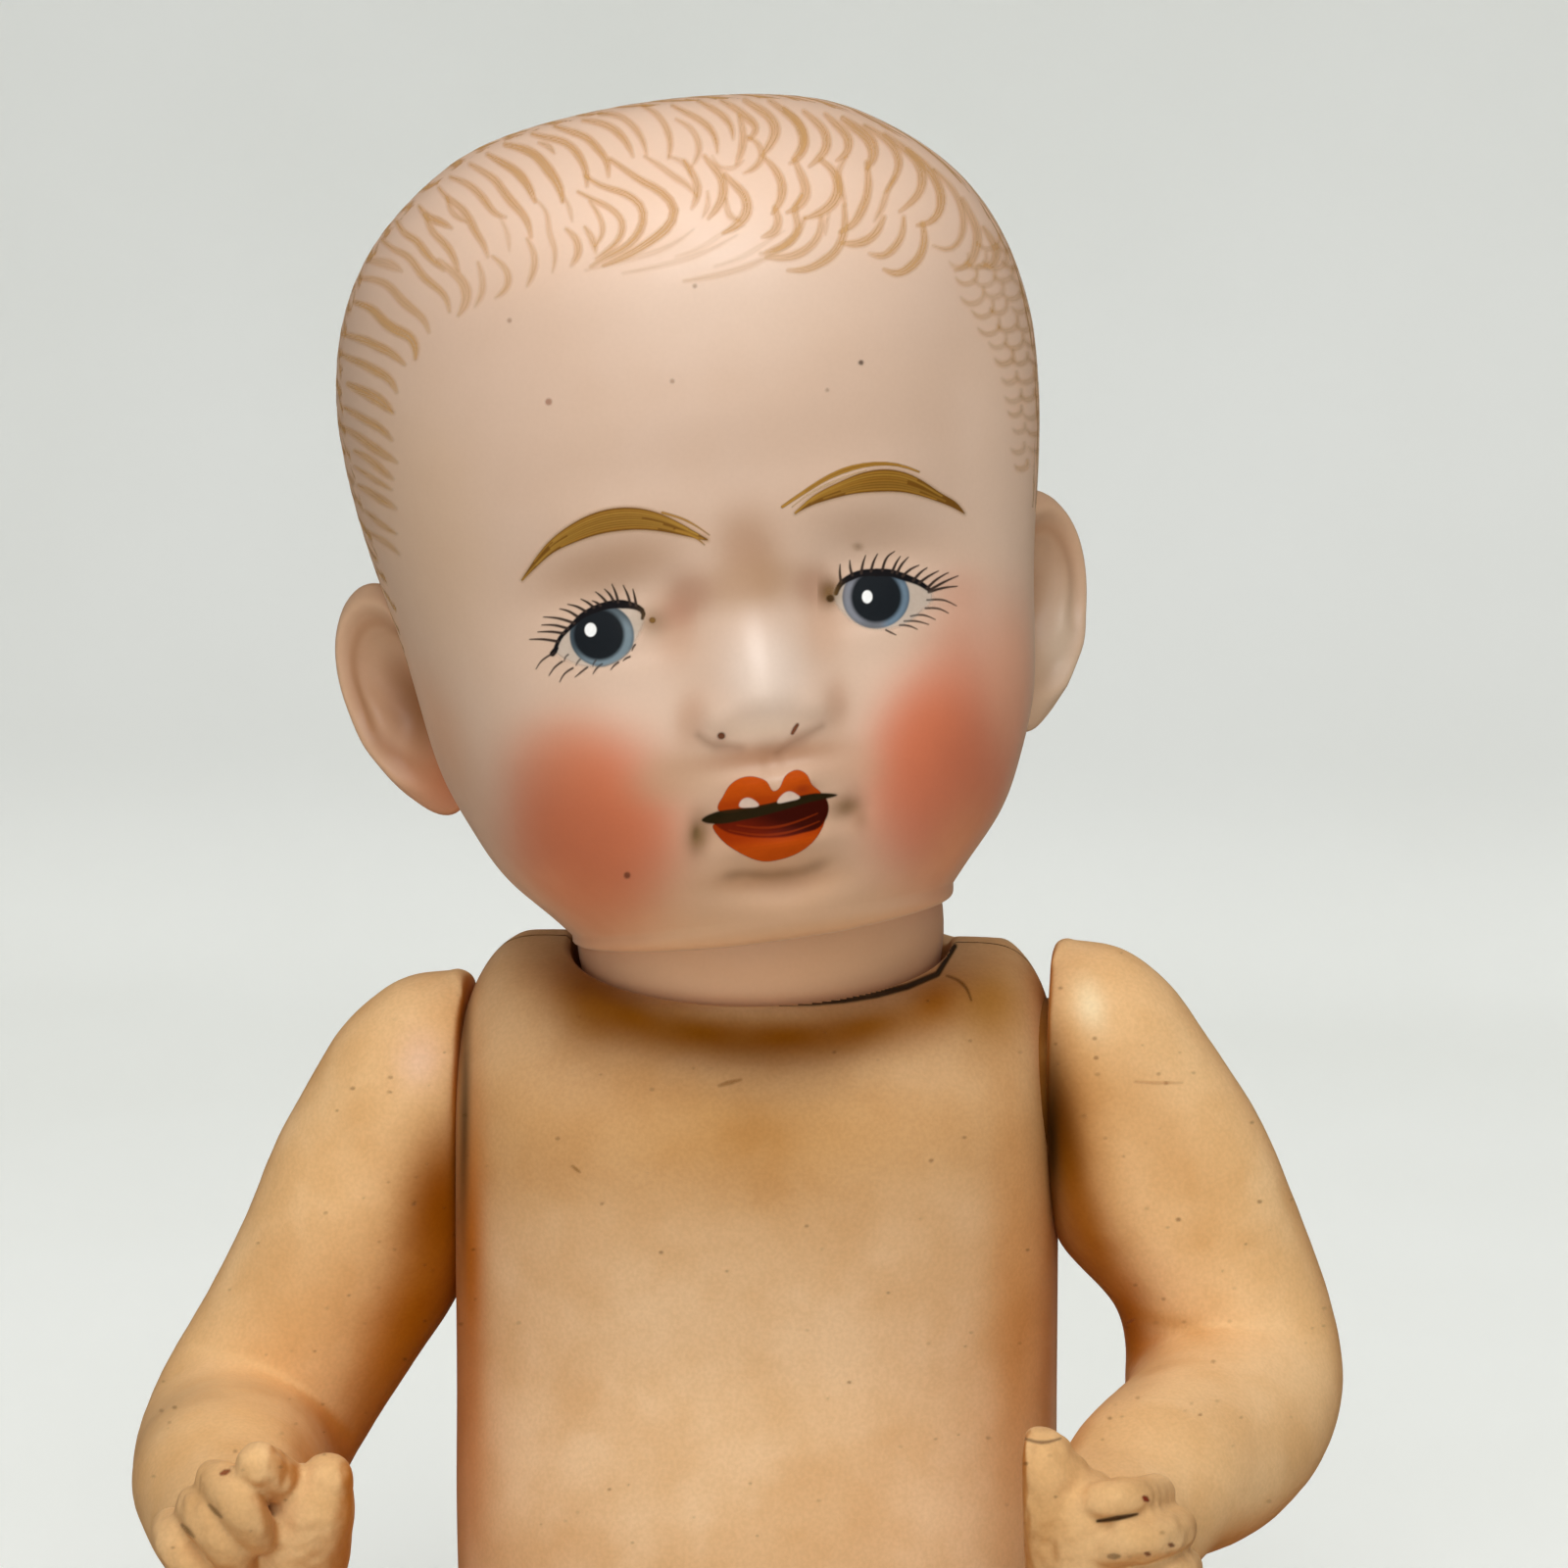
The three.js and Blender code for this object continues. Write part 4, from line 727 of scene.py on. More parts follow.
# Stations as shares: outwards, forwards, down, half width, half depth
THIGH_SHARES = [[0.0, 0.0, 0.0, 0.9, 0.94], [0.24, 0.18, 0.12, 1.0, 1.02], [0.56, 0.44, 0.16, 0.97, 1.0],
                [0.86, 0.72, 0.2, 0.9, 0.93], [1.0, 1.0, 0.32, 0.84, 0.86]]
SHIN_SHARES = [[0.96, 0.26, 0.5, 0.78, 0.8], [0.8, 0.56, 0.72, 0.68, 0.7], [0.58, 0.82, 0.9, 0.56, 0.58],
               [0.42, 1.0, 1.0, 0.52, 0.545]]
# Stations of the foot as shares: up, forwards, half width, half thickness
FOOT_SHARES = [[0.0, 0.02, 0.4, 0.6], [0.22, 0.05, 0.4, 0.6], [0.44, 0.12, 0.44, 0.54],
               [0.6, 0.16, 0.46, 0.46]]
# Toes as shares: across, up, radius
TOE_SHARES = [[0.34, 0.98, 1.25], [0.11, 0.99, 1.0], [-0.08, 0.95, 0.94], [-0.26, 0.88, 0.88],
              [-0.41, 0.79, 0.82]]
TOE_AHEAD = 1.2
HIP_SLOPE = math.radians(25)


def hip_place(side):
    return np.array([side * HIP[0], HIP[1], HIP[2]])


def leg_parts(side):
    """The forms that a leg is fused from: thigh and shin, the foot and the toes."""
    x, y, z = hip_place(side)
    course = [(out, THIGH_LENGTH * ahead, *rest) for out, ahead, *rest in THIGH_SHARES]
    course += [(out, THIGH_LENGTH + SHIN_LENGTH * ahead, *rest) for out, ahead, *rest in SHIN_SHARES]
    stations = [(x + side * LEG_SPREAD * out, y - ahead, z - LEG_DROP * down,
                 LEG_HALF * wide, LEG_HALF * deep) for out, ahead, down, wide, deep in course]
    heel = np.array(stations[-1][:3])

    def place(up, ahead, across):
        return heel + [-side * across, -ahead, up]

    sole = [(*place(up * FOOT_HEIGHT, ahead * FOOT_HALF, up * FOOT_WIDTH * FOOT_TWIST),
             wide * FOOT_WIDTH, thick * FOOT_HALF) for up, ahead, wide, thick in FOOT_SHARES]
    toes = [ball(place(up * FOOT_HEIGHT, TOE_AHEAD, (across + FOOT_TWIST) * FOOT_WIDTH), thick * TOE, 20)
            for across, up, thick in TOE_SHARES]
    return [limb(stations, (1, 0, 0), 48, 90), limb(sole, (-side, 0, 0), 36, 30), *toes]


legs = {}
for which, side in (("right", -1), ("left", 1)):
    at = hip_place(side)
    out = np.array([side * math.cos(HIP_SLOPE), 0, -math.sin(HIP_SLOPE)])
    made = fused(f"doll_{which}_leg", leg_parts(side), 0.5, 5)
    roughen(made, lambda spots: 0.6 * smooth(-spots[:, 1], 86, 94))
    flatten_at(made, at, out, 0.3)
    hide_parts(f"{which}_leg")
    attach(made, f"{which}_leg")
    legs[which] = made
    cap = mesh_object(f"doll_{which}_leg_dome", *dome(at, out, *LEG_DOME))
    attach(cap, f"{which}_leg")
    legs[which + "_dome"] = cap


# Materials
def linear(red, green, blue):
    """A colour read in the photograph's own numbers, as a linear one."""
    parts = np.array([red, green, blue]) / 255
    return np.where(parts <= 0.04045, parts / 12.92, ((parts + 0.055) / 1.055) ** 2.4)


def new_material(name, rough, **settings):
    material = bpy.data.materials.new(name)
    material.use_nodes = True
    tree = material.node_tree
    shader = tree.nodes["Principled BSDF"]
    shader.inputs["Roughness"].default_value = rough
    for key, value in settings.items():
        shader.inputs[key.replace("_", " ")].default_value = value
    return material, tree, shader


def node(tree, kind, settings=(), **inputs):
    """A new node. An input is named, or i and its number."""
    made = tree.nodes.new("ShaderNode" + kind)
    for key, value in dict(settings).items():
        setattr(made, key, value)
    for key, value in inputs.items():
        socket = made.inputs[int(key[1:])] if key[0] == "i" and key[1:].isdigit() else made.inputs[key]
        if isinstance(value, bpy.types.NodeSocket):
            tree.links.new(value, socket)
        else:
            socket.default_value = value
    return made


def rough_noise(tree, scale, detail=4.0, low=0.35, high=0.65):
    """Noise in the row frame with its middle spread from nought to one."""
    place = node(tree, "TexCoord").outputs["Object"]
    noise = node(tree, "TexNoise", Vector=place, Scale=scale, Detail=detail)
    spread = node(tree, "MapRange", Value=noise.outputs["Fac"])
    set_range(spread, from_min=low, from_max=high)
    return spread.outputs["Result"]


def mixed(tree, share, first, second, blend="MIX"):
    """Two colours mixed. The numbers are those of the node's colour sockets."""
    made = tree.nodes.new("ShaderNodeMix")
    made.data_type = "RGBA"
    made.blend_type = blend
    for socket, value in ((made.inputs[0], share), (made.inputs[6], first), (made.inputs[7], second)):
        if isinstance(value, bpy.types.NodeSocket):
            tree.links.new(value, socket)
        elif hasattr(value, "__len__"):
            socket.default_value = (*value, 1.0)
        else:
            socket.default_value = value
    return made.outputs[2]


def times(tree, value, factor):
    return node(tree, "Math", {"operation": "MULTIPLY"}, i0=value, i1=factor).outputs[0]


def set_range(spread, **ends):
    """The ends of a map range node: from_min, from_max, to_min and to_max."""
    for key, value in ends.items():
        spread.inputs[key.replace("_", " ").title()].default_value = value


# What the uneven patches and the fine grain of the paint multiply its colour by, and how fine the grain is
BLOTCH_SHADE = (0.8, 0.66, 0.46)
GRAIN_SHADE = (0.7, 0.66, 0.6)
GRAIN_SCALE = 2600.0


def tinted_material(name, rough, grain, **settings):
    """Paint whose colour is a layer of the mesh, with fine grain and a little unevenness in its shine."""
    material, tree, shader = new_material(name, rough, **settings)
    tint = node(tree, "Attribute", {"attribute_name": "tint"}).outputs["Color"]
    uneven = rough_noise(tree, 120.0, 5.0)
    fine = rough_noise(tree, GRAIN_SCALE, 2.0)
    darker = mixed(tree, times(tree, uneven, grain), tint, BLOTCH_SHADE, "MULTIPLY")
    speckled = mixed(tree, times(tree, fine, grain * 0.5), darker, GRAIN_SHADE, "MULTIPLY")
    tree.links.new(speckled, shader.inputs["Base Color"])
    rough_share = node(tree, "MapRange", Value=uneven)
    set_range(rough_share, to_min=rough * 0.88, to_max=min(rough * 1.15, 1))
    tree.links.new(rough_share.outputs["Result"], shader.inputs["Roughness"])
    return material


def plain_material(name, colour, rough, metallic=0.0):
    material, tree, shader = new_material(name, rough, Metallic=metallic)
    uneven = rough_noise(tree, 400.0)
    worn = mixed(tree, times(tree, uneven, 0.5), colour, np.asarray(colour) * 0.7)
    tree.links.new(worn, shader.inputs["Base Color"])
    return material


bisque = tinted_material("painted_bisque", 0.44, 0.10, Specular_IOR_Level=0.42)
composition = tinted_material("painted_composition", 0.34, 0.45, Specular_IOR_Level=0.12,
                              Specular_Tint=(*linear(255, 210, 130), 1.0))
wood = plain_material("turned_wood", linear(150, 115, 78), 0.7)
steel = plain_material("steel_wire", linear(140, 138, 134), 0.4, 0.9)
elastic = plain_material("woven_elastic", linear(225, 215, 195), 0.9)
leather = plain_material("kid_leather", linear(96, 66, 44), 0.8)

LIMBS = [f"{which}_{kind}" for which in ("right", "left") for kind in ("arm", "leg")]
for name, material in {
    "neck_liner": leather, "neck_plug": wood, "neck_dowel": wood, "head_hook": steel, "arm_elastic": elastic,
    "leg_elastic": elastic, "arm_elastic_ferrule": steel, "leg_elastic_ferrule": steel,
    **{f"{which}_plug": wood for which in LIMBS}, **{f"{which}_hook": steel for which in LIMBS},
}.items():
    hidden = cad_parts[name]
    hidden.data.materials.clear()
    hidden.data.materials.append(material)

SKIN = linear(222, 190, 166)
SKIN_BEHIND = linear(232, 196, 164)
EAR = linear(216, 176, 142)
EAR_SHADE = linear(160, 104, 60)
BODY = linear(236, 198, 154)
# Soft tones of the head: blush on the cheeks, painted highlights on the crown, forehead and nose, painted
# light on the neck and under the tip of the nose, and painted shade between and under the brows, at the
# corners of the eyes, round the nose and mouth and on the chin. Place and spread in the photograph's pixels,
# turn, colour, strength and, for an even patch with a clear edge, how sharp that edge is
SKIN_BLUSH_LIGHT_AND_SHADE = [
    (790, 985, 400, 110, 0, linear(240, 188, 142), 0.85),
    (785, 850, 130, 85, -8, linear(200, 156, 122), 0.7),
    (604, 850, 92, 112, -14, linear(210, 116, 76), 0.95, 2.2),
    (614, 822, 70, 70, 0, linear(212, 108, 64), 0.4),
    (560, 775, 56, 46, 0, linear(214, 130, 92), 0.35),
    (968, 784, 84, 128, 14, linear(214, 120, 84), 0.95, 2.2),
    (950, 768, 60, 66, 0, linear(212, 110, 70), 0.5),
    (1000, 650, 50, 66, 0, linear(216, 132, 98), 0.5),
    (985, 600, 26, 22, 0, linear(204, 130, 100), 0.3),
    (762, 566, 36, 50, -8, linear(176, 132, 98), 0.75),
    (622, 578, 78, 30, -14, linear(188, 142, 106), 0.55),
    (900, 544, 72, 26, 10, linear(190, 146, 112), 0.25),
    (780, 926, 110, 46, 0, linear(196, 156, 122), 0.4),
    (690, 640, 24, 40, 0, linear(196, 146, 112), 0.45),
    (840, 640, 22, 36, 0, linear(200, 152, 118), 0.4),
    (690, 792, 46, 30, -12, linear(190, 148, 112), 0.7),
    (860, 776, 40, 26, 14, linear(198, 152, 120), 0.5),
    (766, 596, 52, 26, -8, linear(184, 144, 110), 0.75),
    (704, 606, 26, 26, 0, linear(168, 118, 88), 0.6),
    (830, 598, 22, 24, 0, linear(164, 116, 86), 0.6),
    (740, 455, 190, 40, -8, linear(204, 172, 148), 0.4),
    (778, 742, 44, 13, -7, linear(240, 210, 184), 0.7),
    (781, 771, 70, 13, -7, linear(170, 118, 80), 0.8),
    (704, 735, 16, 30, 10, linear(194, 140, 104), 0.4),
    (854, 720, 14, 28, 0, linear(196, 142, 106), 0.4),
    (790, 898, 70, 12, -4, linear(188, 134, 92), 0.5),
    (440, 540, 60, 150, -12, linear(226, 190, 156), 0.5),
    (1030, 460, 54, 200, 0, linear(248, 214, 188), 0.7),
    (700, 180, 420, 110, 0, linear(255, 220, 194), 0.8),
    (1036, 700, 30, 90, 0, linear(240, 170, 134), 0.6),
    (990, 870, 40, 60, 20, linear(234, 160, 112), 0.5),
    (440, 760, 36, 80, -16, linear(222, 160, 116), 0.5),
    (780, 684, 40, 50, -8, linear(242, 222, 206), 0.7),
    (770, 300, 150, 70, -6, linear(236, 208, 186), 0.5),
]
# A reddish tone on the right lobe, painted shade in the right ear's hollow and a paler patch on the left ear
EAR_TONES = [
    (462, 800, 46, 54, 0, linear(196, 112, 66), 0.85),
    (420, 724, 18, 44, -18, linear(140, 92, 52), 0.55),
    (1082, 655, 30, 70, 0, linear(218, 198, 174), 0.75),
]


def lay_colour(tint, share, colour):
    """Moves each colour that share of the way to another one."""
    tint += share[:, None] * (colour - tint)


def head_tint(made):
    """The colours of the bisque: the photograph's where it shows the head, and plain ones behind."""
    points, normals = points_of(made), normals_of(made)
    x, y = to_photo(points)
    toward = EYE - points
    toward /= np.linalg.norm(toward, axis=1)[:, None]
    seen = smooth((normals * toward).sum(1), -0.05, 0.25)
    tint = np.tile(SKIN, (len(points), 1))
    for cx, cy, rx, ry, turn, colour, strength, *edge in SKIN_BLUSH_LIGHT_AND_SHADE:
        far = -np.log(np.maximum(glow(x, y, cx, cy, rx, ry, turn), 1e-9))
        lay_colour(tint, seen * strength * np.exp(-far ** (edge[0] if edge else 1.35)), colour)
    behind = (1 - seen) * smooth(row_to_head(points)[:, 2], -34, -14)
    lay_colour(tint, 0.5 * behind, SKIN_BEHIND)
    return tint


head.data.materials.append(bisque)
add_values(head, "tint", head_tint(head))
for ear, shade in zip(ears, ear_shades):
    ear.data.materials.append(bisque)
    tint = np.tile(EAR, (len(shade), 1))
    lay_colour(tint, shade, EAR_SHADE)
    x, y = to_photo(points_of(ear))
    for cx, cy, rx, ry, turn, colour, strength in EAR_TONES:
        lay_colour(tint, strength * glow(x, y, cx, cy, rx, ry, turn), colour)
    add_values(ear, "tint", tint)

# Tones of the varnished body: painted highlights, and painted shade in deep orange at the sides, underneath
# and on faces that look inward
ARM = linear(246, 202, 148)
DOME = linear(112, 72, 34)
BODY_SHADE = linear(188, 104, 4)
BODY_BLOTCH = linear(206, 146, 74)
# Painted shade on the chest, the shoulders and the sides, painted shadow of the chin below the rim of the
# neck cup, where the varnish is darker too, dark painted shade where the arms meet the body, and a strip of
# painted light down the left side. Place and spread in the photograph's pixels, turn, colour, strength
BODY_LIGHT_AND_SHADE = [
    (520, 1120, 60, 160, 0, linear(200, 146, 84), 0.4),
    (770, 1160, 330, 90, 0, linear(198, 142, 74), 0.75),
    (560, 990, 60, 50, 0, linear(190, 140, 84), 0.5),
    (1010, 1020, 56, 60, 0, linear(168, 112, 34), 0.9),
    (480, 1280, 17, 180, 0, linear(190, 104, 0), 0.92),
    (1046, 1340, 30, 190, 0, linear(224, 156, 78), 0.55),
    (1078, 1390, 6, 170, 1, linear(244, 206, 168), 0.85),
    (476, 1500, 26, 120, 0, linear(216, 130, 60), 0.5),
    (1030, 1400, 22, 300, 0, linear(206, 136, 60), 0.35),
    (598, 1006, 40, 28, 40, linear(156, 92, 0), 0.75),
    (606, 1032, 44, 50, 20, linear(152, 94, 6), 0.75),
    (646, 1038, 64, 27, 20, linear(152, 88, 0), 0.95),
    (716, 1054, 78, 26, 6, linear(148, 86, 0), 0.97),
    (800, 1058, 88, 25, -2, linear(148, 86, 0), 0.97),
    (884, 1048, 72, 25, -14, linear(152, 88, 0), 0.95),
    (954, 1020, 42, 30, -40, linear(160, 94, 0), 0.9),
    (474, 1140, 6, 130, 1, linear(54, 30, 6), 0.85),
    (1075, 1155, 6, 84, 0, linear(46, 26, 4), 0.9),
]
# Painted shade inside the arms and where they meet the body, painted highlights on them, and dirt on the
# hands
ARM_LIGHT_SHADE_AND_DIRT = [
    (436, 1230, 52, 120, 16, linear(192, 128, 52), 0.55),
    (1104, 1150, 38, 120, -10, linear(184, 120, 46), 0.65),
    (456, 1250, 34, 92, 16, linear(158, 90, 6), 0.9),
    (446, 1225, 36, 84, 12, linear(148, 78, 0), 0.92),
    (424, 1345, 38, 84, 26, linear(176, 100, 0), 0.92),
    (430, 1078, 24, 30, 20, linear(250, 212, 186), 0.75),
    (1112, 1026, 16, 30, -14, linear(255, 236, 196), 0.8),
    (1090, 1180, 20, 90, -10, linear(150, 86, 6), 0.9),
    (1084, 1150, 20, 90, -6, linear(100, 52, 0), 0.95),
    (1116, 1270, 24, 80, -22, linear(168, 98, 8), 0.85),
    (1176, 1150, 44, 90, -26, linear(208, 154, 96), 0.55),
    (250, 1440, 90, 60, -20, linear(255, 204, 140), 0.5),
    (1270, 1400, 70, 80, 0, linear(255, 212, 160), 0.4),
    (1180, 1345, 60, 10, 16, linear(200, 130, 40), 0.5),
    (1144, 1350, 28, 46, 0, linear(176, 98, 0), 0.9),
    (400, 1400, 50, 80, 20, linear(206, 126, 16), 0.6),
    (235, 1560, 80, 56, 0, linear(204, 160, 108), 0.7),
    (1150, 1570, 66, 50, 0, linear(212, 170, 118), 0.6),
    (1062, 1560, 34, 70, 0, linear(206, 152, 90), 0.5),
    (474, 1080, 5, 70, 0, linear(84, 50, 12), 0.8),
    (473, 1215, 9, 66, -3, linear(40, 22, 4), 0.95),
    (1073, 1160, 10, 84, -1, linear(36, 20, 4), 0.95),
]


def body_tint(made, base, inward, sides, tones):
    """The varnish of a piece, with painted shade at its sides, on the face that looks inward and underneath,
    and the tones laid over it.
    """
    points, normals = points_of(made), normals_of(made)
    seen = smooth(normals @ BACK, -0.05, 0.25)
    # Painted shade: deep orange at the sides, on faces that look inward and underneath
    edge = smooth(1 - np.abs(normals[:, 1]), 0.45, 1.0) * sides
    inner = smooth(normals @ inward, 0.45, 0.98) * (0.3 + 0.65 * seen)
    under = smooth(-normals[:, 2], 0.15, 0.9) * (0.3 + 0.55 * seen)
    deep = np.clip(1 - (1 - edge * smooth(0.9 - normals[:, 2], 0, 0.8)) * (1 - inner) * (1 - under), 0, 1)
    blotch = np.array([noise.fractal(Vector(p / 16), 0.8, 2.1, 4) for p in points])
    tint = base + deep[:, None] * (BODY_SHADE - base)
    lay_colour(tint, 0.22 * smooth(blotch, 0.05, 0.6), BODY_BLOTCH)
    x, y = to_photo(points)
    for cx, cy, rx, ry, turn, colour, strength in tones:
        lay_colour(tint, seen * strength * glow(x, y, cx, cy, rx, ry, turn), colour)
    return tint


for made in body_pieces:
    made.data.materials.append(composition)
    add_values(made, "tint", body_tint(made, BODY, np.zeros(3), 0.85, BODY_LIGHT_AND_SHADE))
for name, made in [*arms.items(), *legs.items()]:
    made.data.materials.append(composition)
    inward = np.array([1.0 if name.startswith("right") else -1.0, 0, 0])
    base = DOME if name.endswith("dome") else ARM
    add_values(made, "tint", body_tint(made, base, inward, 0.35, ARM_LIGHT_SHADE_AND_DIRT))


# Paint, wear and painted shade: every sheet is worked out in the photograph's pixels and cast on to the
# surface
def tree_of(made):
    return BVHTree.FromPolygons([tuple(p) for p in points_of(made)],
                                [tuple(f.vertices) for f in made.data.polygons])


def cast_on(tree, x, y, lift):
    """The points of a piece seen at pixels of the photograph, lifted a little, and whether each was met."""
    spots = np.zeros((len(x), 3))
    met = np.zeros(len(x), bool)
    for i, (px, py) in enumerate(zip(x, y)):
        place, normal, _, _ = tree.ray_cast(Vector(EYE), Vector(photo_ray(px, py)))
        if place is not None:
            spots[i] = place + normal * lift
            met[i] = True
    return spots, met


def to_line(x, y, line):
    """The distance from points to an open line, and how far along it the nearest place lies, from 0 to 1."""
    line = np.asarray(line, float)
    best = np.full(np.shape(x), 1e9)
    along = np.zeros(np.shape(x))
    steps = np.linalg.norm(np.diff(line, axis=0), axis=1)
    reach = np.concatenate([[0], np.cumsum(steps)])
    for k, step in enumerate(steps):
        dx, dy = (line[k + 1] - line[k]) / max(step, 1e-9)
        t = np.clip((x - line[k, 0]) * dx + (y - line[k, 1]) * dy, 0, step)
        far = np.hypot(x - line[k, 0] - t * dx, y - line[k, 1] - t * dy)
        closer = far < best
        best = np.where(closer, far, best)
        along = np.where(closer, (reach[k] + t) / reach[-1], along)
    return best, along


def within(x, y, outline):
    """The distance to a closed outline, above zero inside it."""
    outline = np.asarray(outline, float)
    inside = np.zeros(np.shape(x), bool)
    ends = np.roll(outline, -1, axis=0)
    for (ax, ay), (bx, by) in zip(outline, ends):
        crosses = (ay > y) != (by > y)
        if ay != by:
            inside ^= crosses & (x < ax + (y - ay) / (by - ay) * (bx - ax))
    far, _ = to_line(x, y, np.vstack([outline, outline[:1]]))
    return np.where(inside, far, -far)


def filled(x, y, corners, soft, count=90):
    return smooth(within(x, y, ring_through(corners, count)), -soft, soft)


def drawn(x, y, points, start, middle, end, soft=0.6):
    """A brush line through the points, with its width at the start, at the middle and at the end."""
    line = through(points, 14) if len(points) > 2 else np.asarray(points, float)
    far, along = to_line(x, y, line)
    width = np.interp(along, [0, 0.5, 1], [start, middle, end])
    return smooth(width / 2 - far, -soft, soft)


def disc(x, y, cx, cy, rx, ry, soft=0.7):
    far = (1 - np.hypot((x - cx) / rx, (y - cy) / ry)) * min(rx, ry)
    return smooth(far, -soft, soft)


def part_near(x, y, line, margin):
    """The part of a grid of pixels that lies round a line."""
    left, top = line.min(0) - margin
    right, bottom = line.max(0) + margin
    return slice(*np.searchsorted(y[:, 0], (top, bottom))), slice(*np.searchsorted(x[0], (left, right)))


class Layers:
    """Colours laid one over another on a grid of pixels."""

    def __init__(self, x, y):
        self.x, self.y = x, y
        self.colour = np.zeros(x.shape + (3,))
        self.cover = np.zeros(x.shape)

    def lay(self, colour, cover):
        colour = np.asarray(colour)
        total = cover + self.cover * (1 - cover)
        above = (cover / np.maximum(total, 1e-6))[..., None]
        self.colour = np.where(total[..., None] > 1e-6, colour * above + self.colour * (1 - above), colour)
        self.cover = total

    def cover_part(self, part, cover):
        self.cover[part] = 1 - (1 - self.cover[part]) * (1 - cover)


def paint_sheet(name, tree, body, windows, step, paint, material, lift=0.035, cast=cast_on):
    """Thin sheets of paint that follow a piece, one object for several windows of the photograph."""
    points, faces, inks, covers = [], [], [], []
    start = 0
    for x0, y0, x1, y1 in windows:
        x, y = np.meshgrid(np.arange(x0, x1 + step / 2, step), np.arange(y0, y1 + step / 2, step))
        layers = Layers(x, y)
        paint(layers)
        grid = grid_faces(*x.shape, 0, closed=False)
        near = np.unique(grid[(layers.cover.ravel() > 0.004)[grid].any(1)])
        met = np.zeros(x.size, bool)
        spots = np.zeros((x.size, 3))
        spots[near], met[near] = cast(tree, x.ravel()[near], y.ravel()[near], lift)
        grid = grid[met[grid].all(1)]
        used, places = np.unique(grid, return_inverse=True)
        points.append(spots[used])
        faces.append(places.reshape(grid.shape) + start)
        inks.append(layers.colour.reshape(-1, 3)[used])
        covers.append(layers.cover.ravel()[used])
        start += len(used)
    made = mesh_object(name, np.vstack(points), np.vstack(faces)[:, ::-1])
    add_values(made, "ink", np.vstack(inks))
    add_values(made, "cover", np.concatenate(covers))
    made.data.materials.append(material)
    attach(made, body)
    return made


def paint_material(name, rough, shine):
    material, tree, shader = new_material(name, rough, Specular_IOR_Level=shine)
    ink = node(tree, "Attribute", {"attribute_name": "ink"}).outputs["Color"]
    cover = node(tree, "Attribute", {"attribute_name": "cover"}).outputs["Fac"]
    fine = rough_noise(tree, GRAIN_SCALE, 2.0)
    grained = mixed(tree, times(tree, fine, 0.12), ink, GRAIN_SHADE, "MULTIPLY")
    tree.links.new(grained, shader.inputs["Base Color"])
    tree.links.new(cover, shader.inputs["Alpha"])
    return material


soft_paint = paint_material("bisque_paint", 0.5, 0.2)
eye_and_lip_paint = paint_material("eye_and_lip_paint", 0.55, 0.04)

# Colours of the paint
BLACK = linear(24, 22, 24)
PUPIL = linear(30, 34, 38)
IRIS_PALE = linear(122, 138, 146)
IRIS_DEEP = linear(58, 70, 78)
EYE_WHITE = linear(222, 208, 192)
GLINT = (0.97, 0.97, 0.95)
LASH = linear(62, 50, 44)
UMBER = linear(128, 92, 44)
OLIVE = linear(142, 108, 64)
BROW_LIGHT = linear(184, 134, 48)
BROW_DARK = linear(126, 80, 12)
BROW_STREAK = linear(196, 150, 60)
LIP = linear(192, 76, 8)
LIP_DEEP = linear(150, 44, 2)
MOUTH = linear(44, 6, 1)
TONGUE = linear(104, 24, 2)
OPENING_DARK = linear(38, 30, 10)
TOOTH = linear(222, 196, 178)
NOSE_SHADE = linear(168, 120, 84)


def paint_lids(layers, lids, upper_lashes, lower_lashes):
    x, y, lay = layers.x, layers.y, layers.lay
    for line, start, middle, end in lids:
        lay(BLACK, drawn(x, y, line, start * 1.25, middle * 1.25, end * 1.2, 0.9))
    for line in upper_lashes:
        lay(LASH, 0.85 * drawn(x, y, line, 2.9, 2.3, 0.9))
    for line in lower_lashes:
        lay(LASH, 0.7 * drawn(x, y, line, 2.1, 1.9, 0.9))


def paint_right_eye(layers):
    x, y, lay = layers.x, layers.y, layers.lay
    lay(EYE_WHITE, 0.62 * filled(x, y, RIGHT_EYE_OPENING, 3.0))
    iris = np.minimum(disc(x, y, 614.4, 648.6, 32.5, 31.5, 1.2), filled(x, y, RIGHT_EYE_OPENING, 2.2))
    lay(IRIS_PALE, iris)
    lay(IRIS_DEEP, iris * 0.8 * smooth(-(x - 614) + (y - 648) * -0.6, -6, 26))
    lay(IRIS_DEEP, iris * 0.6 * smooth(np.hypot(x - 614.4, y - 648.6), 28, 33))
    # Painted shadow of the upper lid over the top of the iris
    lay(BLACK, 0.5 * iris * smooth(636 - y, -6, 10))
    lay(PUPIL, disc(x, y, 611.2, 647.8, 26.0, 26.0, 2.6))
    lay(GLINT, disc(x, y, 602.8, 642.8, 6.0, 7.0))
    paint_lids(layers, RIGHT_LID_LINES, RIGHT_UPPER_LASHES, RIGHT_LOWER_LASHES)
    lay(OLIVE, 0.34 * glow(x, y, 665.8, 634, 17, 15))
    lay(linear(200, 130, 100), 0.16 * glow(x, y, 690, 627, 18, 16))
    lay(UMBER, 0.8 * disc(x, y, 665.8, 632.9, 3.2, 3.0, 1.2))


